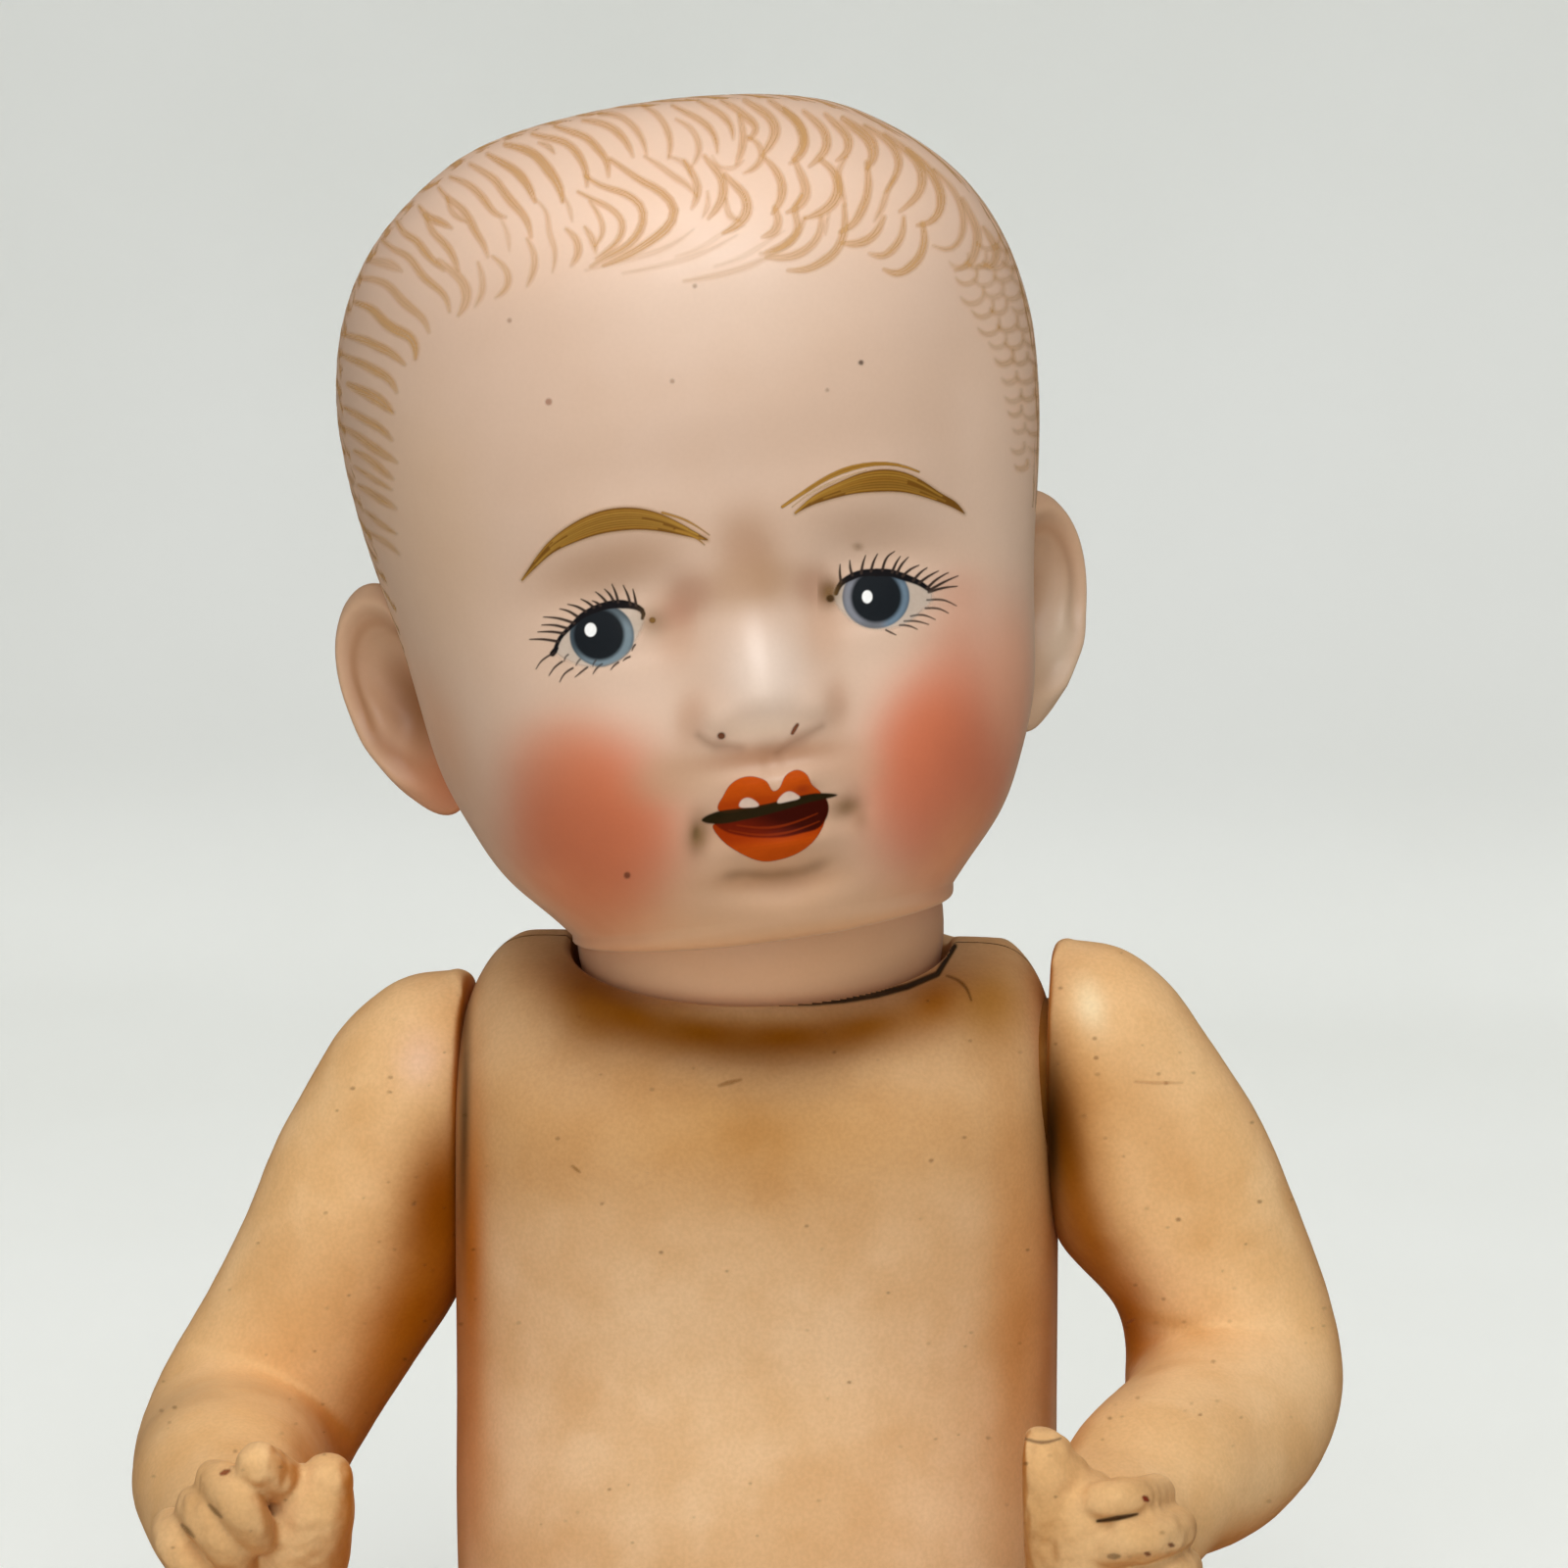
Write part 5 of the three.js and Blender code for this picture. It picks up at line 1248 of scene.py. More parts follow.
def paint_left_eye(layers):
    x, y, lay = layers.x, layers.y, layers.lay
    lay(EYE_WHITE, 0.62 * filled(x, y, LEFT_EYE_OPENING, 3.0))
    iris = np.minimum(disc(x, y, 893.6, 609.1, 34, 32, 1.2), filled(x, y, LEFT_EYE_OPENING, 2.2))
    lay(linear(132, 134, 142), iris)
    lay(linear(110, 130, 146), iris * smooth(x, 896, 908))
    lay(IRIS_DEEP, iris * 0.6 * smooth(np.hypot(x - 893.6, y - 609.1), 30, 35))
    # Painted shadow of the upper lid over the top of the iris
    lay(BLACK, 0.45 * iris * smooth(594 - y, -6, 10))
    lay(linear(70, 72, 70), 0.5 * iris * smooth(y, 630, 641) * smooth(908 - x, 0, 16))
    lay(PUPIL, disc(x, y, 894.0, 609.1, 26.0, 26.4, 2.6))
    lay(GLINT, disc(x, y, 884.8, 609.1, 5.3, 6.6))
    paint_lids(layers, LEFT_LID_LINES, LEFT_UPPER_LASHES, LEFT_LOWER_LASHES)
    lay(UMBER, 0.65 * glow(x, y, 846.3, 604.5, 11, 13))
    lay(linear(70, 48, 26), 0.85 * disc(x, y, 847.2, 610.8, 4, 3.6, 1.4))
    lay(OLIVE, 0.3 * glow(x, y, 875.3, 557.7, 5, 4))


def paint_brow(layers, top, bottom, strength, count):
    """A brow between its upper and its lower edge, with fine light streaks along it."""
    x, y = layers.x, layers.y
    inside = within(x, y, np.vstack([top, bottom[::-1]]))
    layers.lay(BROW_LIGHT, 0.28 * smooth(inside, -4, 1))
    layers.lay(BROW_DARK, strength * smooth(inside, -0.8, 0.9))
    for share in np.linspace(0.12, 0.88, count):
        line = top * (1 - share) + bottom * share
        first = rng.integers(0, len(line) // 3)
        last = rng.integers(len(line) * 2 // 3, len(line))
        far, _ = to_line(x, y, line[first:last])
        layers.lay(BROW_LIGHT if rng.random() < 0.6 else BROW_STREAK,
                   rng.uniform(0.35, 0.75) * smooth(0.8 - far, -0.7, 0.7))


def paint_left_brow(layers):
    x, y, lay = layers.x, layers.y, layers.lay
    paint_brow(layers, LEFT_BROW_TOP, LEFT_BROW_BOTTOM, 0.95, 7)
    lay(BROW_LIGHT, 0.85 * drawn(x, y, LEFT_BROW_STRAND, 3.0, 5.6, 2.0))
    lay(BROW_DARK, 0.5 * drawn(x, y, LEFT_BROW_STRAND[1:-1], 1.0, 2.0, 1.0))
    lay(linear(214, 182, 140), 0.6 * drawn(x, y, LEFT_BROW_GAP, 1.2, 2.4, 1.0))


def paint_right_brow(layers):
    paint_brow(layers, RIGHT_BROW_TOP, RIGHT_BROW_BOTTOM, 0.92, 8)
    for strand in RIGHT_BROW_STRANDS:
        layers.lay(BROW_LIGHT, 0.7 * drawn(layers.x, layers.y, strand, 2.6, 2.6, 1.0))


def paint_mouth(layers):
    x, y, lay = layers.x, layers.y, layers.lay
    # Painted shade at the corners of the mouth and in the crease of the chin
    lay(OLIVE, 0.62 * glow(x, y, 712.3, 853, 11, 18, 8))
    lay(linear(92, 70, 36), 0.4 * glow(x, y, 710, 850, 4, 8))
    lay(OLIVE, 0.5 * glow(x, y, 864, 823, 16, 10, -14))
    lay(OLIVE, 0.22 * glow(x, y, 878, 836, 9, 12))
    for cx, cy, rx, ry, turn in CHIN_CREASE:
        lay(OLIVE, 0.24 * glow(x, y, cx, cy, rx, ry, turn))
    for outline, strength, shade in (
            (LOWER_LIP, 0.8, smooth(y - 862 + (x - 780) * 0.16, 8, -12)),
            (UPPER_LIP, 0.55, smooth(y - 812 + (x - 780) * 0.12, -5, 6))):
        lip = filled(x, y, outline, 0.9)
        lay(LIP, 0.97 * lip)
        lay(LIP_DEEP, strength * lip * shade)
    lay(linear(150, 50, 14), 0.7 * glow(x, y, 819, 805, 9, 4.5, -12))
    inside = filled(x, y, INSIDE, 1.3)
    lay(TONGUE, 0.97 * inside)
    lay(MOUTH, 0.85 * inside * smooth((x - 775) * 0.35 - (y - 838) * 0.9, -14, 12))
    for streak in INSIDE_STREAKS:
        lay(linear(150, 50, 6), 0.55 * drawn(x, y, streak, 1.0, 2.6, 1.0, 0.9))
    lay(OPENING_DARK, 0.96 * filled(x, y, OPENING, 1.1))
    for tooth in TEETH:
        lay(TOOTH, 0.95 * filled(x, y, tooth, 0.9, 40))


def paint_nose(layers):
    x, y, lay = layers.x, layers.y, layers.lay
    for line, strength in ((UNDER_NOSE_RIGHT, 0.3), (UNDER_NOSE_LEFT, 0.34)):
        lay(NOSE_SHADE, strength * drawn(x, y, line, 4, 10, 4, 7))
    lay(linear(120, 70, 44), 0.9 * disc(x, y, 736.1, 750.7, 3.8, 3.4, 1.2))
    lay(linear(130, 74, 46), 0.9 * drawn(x, y, LEFT_NOSTRIL, 3.0, 3.8, 3.0, 1.0))


def paint_specks(layers):
    for cx, cy, radius, colour, cover in SPECKS:
        layers.lay(colour, 0.7 * cover * disc(layers.x, layers.y, cx, cy, radius, radius, 1.4))


# What is drawn on the face, in the photograph's pixels
RIGHT_EYE_OPENING = [(567, 664), (573, 650), (583, 640), (593, 630), (606, 623), (620, 619), (634, 618),
                     (648, 622), (657, 631), (653, 645), (645, 660), (632, 673), (614, 680), (596, 680),
                     (580, 674)]
RIGHT_LID_LINES = [
    ([(566.3, 664.4), (573, 649.4), (582.9, 639.5), (592.9, 629.5), (606.1, 622.1)], 3.2, 3.4, 6.0),
    ([(606.1, 622.1), (619.4, 617.9), (632.6, 616.6), (644.3, 617.9), (652, 620.6), (656.4, 625),
      (655.4, 631.2)], 6.0, 7.2, 2.6),
    ([(564, 667), (568.5, 661.5)], 4.4, 4.4, 3.0),
]
RIGHT_UPPER_LASHES = [
    [(649.2, 617.9), (647.8, 609), (645.9, 601)], [(643.4, 617.1), (640.2, 606), (636, 597.2)],
    [(631, 614.6), (628, 604), (624.5, 596)], [(626, 613), (621.8, 606), (616.9, 601)],
    [(618.6, 614), (613, 608), (607.8, 603.8)], [(612.8, 618), (609, 615), (604.5, 613)],
    [(606.1, 620), (600, 615), (592.9, 611.3)], [(597.8, 624), (589, 619), (579.6, 616.6)],
    [(589, 629), (580, 623.6), (571.3, 621.2)], [(586.2, 636), (570, 631), (554.7, 629.5)],
    [(579.6, 641.5), (566, 638), (553.1, 637.8)], [(576.3, 646.5), (562, 644.6), (548.9, 644.8)],
    [(569.6, 654.6), (555, 652.4), (540.6, 652.4)],
]
RIGHT_LOWER_LASHES = [
    [(566.3, 666), (551.4, 676), (547.3, 682.6)], [(573.8, 675.1), (566.3, 680.9), (560.5, 689.2)],
    [(584.6, 681.8), (576.3, 687.6), (571.3, 695.9)], [(599.5, 680.9), (593, 686), (587, 690.9)],
    [(614.4, 677.6), (609, 682), (605.3, 687.6)], [(631, 676), (627, 679), (623.5, 683.4)],
    [(642.6, 670.2), (638.6, 672), (636, 674.3)], [(580, 668), (577, 671), (576, 675)],
    [(592, 673), (589.4, 676), (588, 679)], [(608, 674), (606, 677), (605, 680)],
    [(648, 658), (646, 661), (645, 664)],
]
LEFT_EYE_OPENING = [(851, 608), (856, 597), (866, 591), (878, 587), (894, 585), (910, 586), (924, 590),
                    (938, 596), (950, 604), (951, 611), (942, 622), (928, 634), (910, 641), (892, 642),
                    (873, 636), (859, 624)]
LEFT_LID_LINES = [
    ([(853, 605.8), (857.9, 595.9), (866.2, 590.1), (876.2, 585.9), (894.4, 584.3)], 3.4, 5.6, 6.2),
    ([(894.4, 584.3), (909.3, 585.1), (922.6, 589.2), (937.5, 595), (947.5, 601.7)], 6.2, 6.0, 3.6),
]
LEFT_UPPER_LASHES = [
    [(857.9, 593.4), (856.8, 584), (857.1, 576)], [(869.5, 587), (867.4, 579), (867, 571.8)],
    [(878.7, 585), (880.4, 575), (883.1, 566.8)], [(888.6, 583), (891.4, 573), (895.2, 565.2)],
    [(900.2, 582), (906.6, 567), (912.6, 562.7)], [(910.2, 584), (914, 575), (918.5, 567.7)],
    [(915.1, 585), (920, 576), (926.7, 568.5)], [(920.9, 588), (929, 581), (937.5, 576.8)],
    [(931.7, 592.5), (938.4, 585), (945.8, 579.3)], [(937.5, 595.2), (947.4, 588), (957.4, 582.6)],
    [(945.5, 600.6), (956, 591), (967.4, 584.3)], [(948.1, 602.4), (963, 594), (977.3, 587.6)],
    [(947.5, 604.3), (962, 600), (976.5, 598.3)],
]
LEFT_LOWER_LASHES = [
    [(945.8, 612.4), (962.4, 612.4), (975.7, 618.3)], [(944.2, 620.7), (959.1, 621.6), (967.4, 625.7)],
    [(929.2, 629), (939.2, 627.4), (954.1, 632.3)], [(922.6, 634), (935, 634), (947.5, 637.3)],
    [(918, 638), (927, 638.6), (935.9, 642.3)], [(904, 643), (908, 645), (914, 648)],
]
LEFT_BROW_TOP = through([(811.5, 522.9), (829.7, 506.3), (854, 493), (879.5, 482.5), (902.7, 479),
                         (920.9, 481.5), (942.5, 491.4), (962.4, 504.7), (975.7, 513), (984, 523.5)], 40)
LEFT_BROW_BOTTOM = through([(811.5, 524.2), (826.4, 516.3), (846.3, 509.6), (871.2, 503.8),
                            (896.1, 501.7), (920.9, 502.2), (945.8, 508), (962, 513.6), (975.7, 519.6),
                            (984, 524.5)], 40)
LEFT_BROW_STRAND = [(798.2, 517.1), (821.5, 501.4), (846.3, 486.4), (872.9, 476.5), (896.1, 473.2),
                    (917.6, 474.8), (937.5, 481.5)]
LEFT_BROW_GAP = [(808.2, 517.3), (824, 505), (848, 492.4), (868, 484.4), (884, 480)]
RIGHT_BROW_TOP = through([(532.3, 591.4), (545, 572), (560, 553), (580, 537), (605, 524), (633, 518),
                          (660, 520), (685, 529), (705, 540), (722, 550)], 40)
RIGHT_BROW_BOTTOM = through([(533.3, 592.2), (549, 577), (566, 563), (585, 554), (608, 546), (633, 541.5),
                             (658, 540.5), (680, 543), (700, 547), (722, 551.6)], 40)
RIGHT_BROW_STRANDS = [[(690, 541), (706, 546), (719, 556)], [(676, 523), (700, 531), (724, 546)]]
UPPER_LIP = [(732.9, 826.1), (737.3, 813.6), (743.6, 802.9), (754.3, 794.8), (765, 792.5), (775.7, 794.3),
             (782.9, 798.4), (786.4, 804.6), (789.1, 807.3), (792.7, 806.4), (797.1, 801.1), (800.7, 793),
             (807, 787.7), (812.3, 785.9), (819.5, 787.7), (824.8, 793), (827.5, 799.3), (832.9, 804.6),
             (837.4, 809.2), (829.3, 814), (815, 817.2), (793.2, 822), (773.9, 824.9), (754.3, 827.6),
             (740.1, 829.4)]
OPENING = [(716, 837), (728, 829.5), (748, 825.5), (769.5, 822.5), (789.4, 818.5), (805, 814.5),
           (820, 811.2), (841, 809.4), (854, 811.2), (842, 815), (822, 819.5), (806, 824.5), (790, 829),
           (769.5, 834.4), (750, 838.5), (730, 840.6)]
INSIDE = [(728, 838), (745, 832), (769, 826), (793, 820), (817, 814), (840, 812), (845, 822),
          (842.5, 835), (836, 844), (821, 849.5), (805, 853.5), (789.4, 855), (768, 854.5), (750, 851.5),
          (736, 846)]
INSIDE_STREAKS = [[(744, 847), (768, 851.5), (792, 851.5), (816, 846), (836, 838)],
                  [(752, 842), (772, 844.5), (794, 843.5), (814, 838), (834, 830)]]
LOWER_LIP = [(727.5, 842.7), (734.6, 854.6), (747.1, 865.4), (761.4, 873.4), (779.3, 878.8), (795.4, 877),
             (811.4, 871.6), (827.5, 860.9), (836.4, 849.3), (841, 834.8), (815, 838), (780, 846),
             (750, 845)]
TEETH = [
    [(754.3, 822.1), (757.9, 815.4), (763.2, 813.9), (769.5, 816.3), (774.3, 821.3), (764, 824)],
    [(793.2, 818.6), (797.1, 811.8), (806.1, 807.5), (812.3, 810), (815.9, 813.2), (805, 817.6)],
]
# Painted shade along the crease below the lower lip
CHIN_CREASE = [(748, 893, 13, 5.5, -12), (772, 892, 17, 5.5, 2), (800, 891, 18, 5.5, -8),
               (830, 884, 18, 6, -22)]
UNDER_NOSE_RIGHT = [(713, 750), (724, 758), (738, 761), (756, 763)]
UNDER_NOSE_LEFT = [(838, 741), (824, 749), (808, 757), (793, 768)]
LEFT_NOSTRIL = [(813.6, 739.4), (811, 743.4), (808.4, 748.2)]
SPECKS = [
    (878.5, 370, 2.4, linear(70, 50, 36), 0.85), (560, 410, 3.4, linear(168, 104, 76), 0.6),
    (640, 893, 3.2, linear(120, 60, 36), 0.7), (520, 327, 2.4, linear(170, 120, 88), 0.4),
    (844, 398, 2.0, linear(150, 116, 92), 0.4), (709, 292, 2.2, linear(178, 146, 112), 0.5),
    (686, 389, 2.4, linear(160, 120, 90), 0.45),
]

# The painted hair: width of the brush, strength, and the way of each stroke in the photograph's pixels
HAIR_STROKES = [
    (8, 0.9, [(352, 341), (358, 343), (372, 347), (385, 353), (400, 361), (413, 372)]),
    (8, 0.9, [(350, 362), (358, 366), (370, 371), (385, 379), (398, 388), (405, 400)]),
    (10, 0.9, [(356, 392), (366, 397), (378, 403), (390, 411), (401, 421)]),
    (7, 0.9, [(352, 416), (364, 423), (376, 430), (388, 437), (400, 449)]),
    (8, 0.8, [(352, 437), (364, 444), (376, 453), (388, 461), (405, 472)]),
    (7, 0.8, [(362, 460), (376, 468), (388, 478), (401, 489)]),
    (5, 0.8, [(362, 476), (370, 481), (382, 489), (400, 500)]),
    (7, 0.8, [(366, 495), (376, 501), (388, 509), (404, 519)]),
    (5, 0.8, [(372, 521), (380, 527), (392, 537), (405, 545)]),
    (5, 0.7, [(372, 540), (380, 545), (393, 553), (408, 566)]),
    (9, 1.0, [(364, 309), (380, 316), (391, 327), (405, 337), (418, 344), (424, 355), (424, 366)]),
    (8, 0.7, [(367, 284), (380, 285), (398, 293), (408, 304), (420, 315), (432, 326), (438, 339)]),
    (9, 0.5, [(376, 266), (390, 268), (400, 271), (410, 277)]),
    (7, 0.8, [(390, 245), (403, 255), (415, 261), (424, 271), (433, 283), (445, 293), (455, 304),
              (459, 318)]),
    (7, 0.9, [(405, 226), (413, 238), (425, 246), (433, 256), (441, 265), (453, 276)]),
    (9, 0.6, [(448, 266), (458, 274), (470, 285), (476, 298), (474, 312), (468, 322)]),
    (7, 0.9, [(428, 211), (437, 221), (450, 227), (461, 233)]),
    (7, 0.8, [(434, 220), (443, 238), (453, 248), (462, 261), (468, 276)]),
    (7, 0.8, [(448, 192), (457, 202), (470, 212), (478, 222), (485, 236), (493, 249), (498, 262)]),
    (5, 0.7, [(456, 202), (462, 217), (476, 227)]),
    (6, 0.5, [(488, 268), (492, 282), (492, 298), (485, 313)]),
    (7, 0.8, [(460, 181), (475, 187), (486, 195), (497, 208), (506, 218), (516, 222)]),
    (4, 0.4, [(510, 222), (517, 236), (520, 256)]),
    (6, 0.6, [(503, 262), (514, 272), (519, 284), (515, 296), (506, 304)]),
    (8, 0.8, [(480, 168), (494, 176), (506, 185), (515, 197), (524, 208), (532, 217), (539, 229),
              (542, 242)]),
    (8, 1.0, [(498, 158), (512, 166), (525, 174), (534, 183), (541, 194), (546, 206)]),
    (5, 0.5, [(547, 204), (557, 216), (561, 238), (566, 254), (564, 278)]),
    (9, 1.0, [(516, 148), (533, 152), (548, 160), (557, 170), (565, 181), (571, 192), (574, 206)]),
    (4, 0.5, [(574, 198), (580, 210), (584, 226)]),
    (7, 0.9, [(543, 137), (560, 141), (575, 145), (586, 153), (593, 163), (598, 176), (599, 190)]),
    (5, 0.7, [(550, 146), (560, 150), (566, 157)]),
    (7, 0.9, [(566, 129), (584, 135), (600, 142), (610, 152), (618, 163), (621, 180)]),
    (7, 0.8, [(595, 123), (616, 127), (630, 135), (640, 147), (646, 160)]),
    (6, 0.6, [(538, 244), (545, 260), (544, 278), (538, 292)]),
    (7, 0.7, [(578, 234), (588, 245), (590, 258), (583, 271)]),
    (7, 0.9, [(598, 180), (612, 189), (630, 195), (645, 202), (655, 213), (656, 226), (650, 240), (638, 252),
              (620, 262), (603, 272)]),
    (6, 0.8, [(590, 196), (610, 206), (627, 216), (635, 228), (633, 241), (622, 254), (608, 264)]),
    (5, 0.7, [(602, 206), (612, 222), (615, 236), (608, 251)]),
    (6, 0.7, [(597, 232), (605, 246), (608, 258)]),
    (8, 0.9, [(623, 163), (640, 175), (655, 185), (670, 193), (682, 203), (688, 215), (684, 228), (671, 241),
              (655, 252), (637, 262), (616, 271)]),
    (6, 0.7, [(612, 117), (632, 119), (645, 128), (655, 142), (660, 158)]),
    (6, 0.7, [(655, 108), (670, 117), (680, 131), (684, 148), (682, 162)]),
    (6, 0.8, [(686, 108), (700, 115), (713, 122), (723, 130), (730, 142), (732, 156)]),
    (6, 0.6, [(690, 122), (703, 130), (711, 141), (713, 155), (706, 170)]),
    (6, 0.8, [(712, 103), (725, 110), (738, 119), (746, 130), (748, 142)]),
    (7, 0.8, [(736, 103), (750, 111), (762, 120), (771, 131), (764, 143)]),
    (7, 0.7, [(754, 118), (758, 135), (757, 152), (751, 168)]),
    (9, 0.8, [(760, 103), (775, 112), (786, 121), (791, 133), (786, 147), (778, 159)]),
    (6, 0.7, [(763, 140), (773, 147), (777, 160), (769, 172), (759, 177)]),
    (8, 0.8, [(785, 103), (798, 112), (810, 122), (818, 135), (818, 149), (809, 162)]),
    (6, 0.6, [(658, 160), (674, 170), (689, 181), (702, 190), (711, 201)]),
    (7, 0.7, [(698, 164), (708, 180), (712, 196), (706, 213)]),
    (5, 0.5, [(683, 160), (699, 168), (706, 181)]),
    (8, 0.8, [(719, 160), (728, 171), (736, 182), (738, 196), (733, 210), (723, 223)]),
    (5, 0.5, [(722, 196), (722, 210), (717, 222)]),
    (9, 0.8, [(740, 179), (751, 190), (760, 201), (762, 215), (753, 229), (738, 238)]),
    (6, 0.6, [(741, 203), (745, 220), (756, 226)]),
    (4, 0.5, [(727, 160), (734, 170), (746, 172), (759, 164)]),
    (8, 0.8, [(781, 162), (792, 175), (798, 190), (796, 205), (788, 218)]),
    (8, 0.7, [(790, 212), (794, 225), (790, 236), (778, 242)]),
    (7, 0.7, [(818, 200), (811, 214), (814, 230), (807, 246), (794, 255), (776, 259)]),
    (7, 0.8, [(800, 111), (812, 122), (820, 135), (821, 150), (815, 161), (806, 167)]),
    (8, 0.8, [(820, 114), (832, 124), (842, 137), (843, 150), (836, 161), (826, 170)]),
    (8, 0.8, [(842, 117), (856, 130), (865, 142), (864, 155), (854, 164)]),
    (10, 0.9, [(860, 121), (876, 133), (888, 145), (891, 158), (885, 172)]),
    (7, 0.8, [(882, 128), (899, 139), (912, 152), (917, 166), (913, 181), (904, 196)]),
    (8, 0.8, [(903, 137), (921, 151), (935, 165), (941, 180), (938, 196), (928, 208), (918, 216)]),
    (8, 0.9, [(926, 153), (944, 169), (955, 185), (960, 201), (958, 216), (950, 226), (936, 230)]),
    (6, 0.7, [(953, 173), (970, 191), (980, 210), (983, 228), (979, 245), (970, 254), (952, 251)]),
    (8, 0.7, [(982, 203), (992, 224), (997, 240), (995, 256), (989, 269), (975, 276)]),
    (7, 0.7, [(1003, 232), (1013, 248), (1016, 262), (1010, 271), (998, 271)]),
    (9, 0.7, [(811, 164), (818, 180), (822, 196), (815, 210), (803, 217)]),
    (9, 0.8, [(838, 164), (850, 175), (855, 190), (851, 205), (839, 216), (822, 223)]),
    (6, 0.6, [(864, 160), (856, 175), (858, 193), (863, 210)]),
    (8, 0.8, [(884, 166), (886, 185), (883, 205), (877, 219), (869, 230), (857, 237)]),
    (6, 0.6, [(913, 181), (905, 196), (900, 211), (892, 226)]),
    (4, 0.5, [(846, 218), (843, 230), (842, 240)]),
    (8, 0.8, [(861, 210), (862, 226), (859, 244), (851, 258), (838, 268), (822, 275), (804, 276)]),
    (8, 0.7, [(838, 222), (835, 240), (826, 252), (813, 260), (800, 263), (782, 263)]),
    (7, 0.6, [(821, 222), (815, 236), (801, 249), (783, 256)]),
    (8, 0.8, [(902, 222), (894, 237), (885, 245), (871, 249), (859, 248)]),
    (7, 0.8, [(922, 222), (920, 240), (912, 253), (901, 261), (887, 259)]),
    (8, 0.9, [(941, 228), (943, 245), (938, 262), (928, 273), (915, 279), (902, 275)]),
    (5, 0.3, [(598, 276), (630, 268), (660, 260), (692, 246), (708, 234)]),
    (5, 0.3, [(636, 279), (680, 270), (720, 257), (752, 240)]),
    (6, 0.35, [(698, 287), (740, 279), (776, 266), (800, 252)]),
    (5, 0.25, [(690, 262), (720, 250), (742, 236), (760, 230)]),
    (5, 0.25, [(730, 272), (758, 262), (784, 246), (800, 236)]),
]
HAIR = linear(216, 168, 98)
# The inner edge of the small crescents in front of the left ear
CRESCENT_LINE = [(978, 262), (990, 290), (1004, 320), (1018, 348), (1028, 382), (1036, 425), (1041, 475)]
CRESCENT_SPACING = 18.5
CRESCENT_RADIUS = 9.5


def crescents():
    """Small crescents in rows down the left temple, each row half a step along from the one before."""
    line = through(CRESCENT_LINE, 30)
    reach = reach_along(line)
    strokes = []
    for row in range(4):
        for at in np.arange(9 * (row % 2), reach[-1], CRESCENT_SPACING):
            cx, cy = (np.interp(at, reach, line[:, k]) + rng.uniform(-2, 2) for k in (0, 1))
            size = rng.uniform(0.85, 1.15) * (1.25 - 0.5 * at / reach[-1])
            turns = math.radians(76) + np.radians(np.linspace(-96, 78, 5))
            radius = CRESCENT_RADIUS * size
            strokes.append((rng.uniform(4.6, 6.0), rng.uniform(0.4, 0.6),
                            [(cx + 15 * row + radius * math.cos(a), cy - 9 * row + radius * math.sin(a))
                             for a in turns]))
    return strokes


def paint_hair(layers):
    x, y = layers.x, layers.y
    for width, dark, points in HAIR_STROKES + crescents():
        part = part_near(x, y, np.asarray(points, float), width)
        far, along = to_line(x[part], y[part], through(points, 18))
        brush = width * np.interp(along, [0, 0.25, 0.6, 0.85, 1], [0.6, 1.05, 1.3, 0.95, 0.4])
        streaks = 0.8 + 0.2 * np.sin(far * 2.1 + along * 9 + width)
        layers.cover_part(part, dark * 0.62 * smooth(brush / 2 - far, -2.2, 2.6) * streaks)
    layers.colour[:] = HAIR


# The way from the middle of the skull to the whorl of the hair, in the head's frame
WHORL = np.array([0.0, math.sin(math.radians(32)), math.cos(math.radians(32))])
SKULL = np.array([0.0, 2.0, -6.0])
SKULL_RADIUS = 34.0
HAIR_LINE_BEHIND = -31


def cast_round_skull(tree, x, y, lift):
    """As cast_on, for a map of the skull spread out flat round its whorl, where the camera doesn't see it."""
    spots = np.zeros((len(x), 3))
    met = np.zeros(len(x), bool)
    aside = np.array([1.0, 0, 0])
    ahead = np.cross(WHORL, aside)
    turn = np.hypot(x, y) / SKULL_RADIUS
    heading = np.arctan2(y, x)
    own = (np.cos(turn)[:, None] * WHORL
           + np.sin(turn)[:, None] * (np.cos(heading)[:, None] * aside + np.sin(heading)[:, None] * ahead))
    centre = head_to_row(SKULL)
    out = own @ HEAD_TURN.T
    for i, way in enumerate(out):
        place, normal, _, _ = tree.ray_cast(Vector(centre + way * 90), Vector(-way))
        if place is not None and normal.dot((Vector(EYE) - place).normalized()) < 0.16:
            spots[i] = place + normal * lift
            met[i] = row_to_head(np.array(place))[2] > HAIR_LINE_BEHIND
    return spots, met


def paint_unseen_hair(layers):
    """Curved strokes that run out from the whorl in rings, as the ones in front do."""
    x, y = layers.x, layers.y
    for turn in np.radians(np.arange(8, 118, 5.2)):
        count = max(int(2 * math.pi * math.sin(turn) * SKULL_RADIUS / 3.3), 5)
        for heading in (np.arange(count) + rng.uniform(-0.2, 0.2, count)) / count * 2 * math.pi:
            reach = SKULL_RADIUS * (turn + np.linspace(-0.055, 0.085, 5) * rng.uniform(0.8, 1.15))
            way = heading + 0.1 * turn + (np.linspace(0, 1, 5) ** 2) * 3.2 / (SKULL_RADIUS * math.sin(turn))
            line = np.stack([reach * np.cos(way), reach * np.sin(way)], -1)
            part = part_near(x, y, line, 1.5)
            far, along = to_line(x[part], y[part], line)
            brush = rng.uniform(0.75, 1.1) * np.interp(along, [0, 0.25, 0.6, 1], [0.5, 1, 1.2, 0.35])
            layers.cover_part(part, rng.uniform(0.4, 0.6) * smooth(brush / 2 - far, -0.28, 0.28))
    layers.colour[:] = HAIR


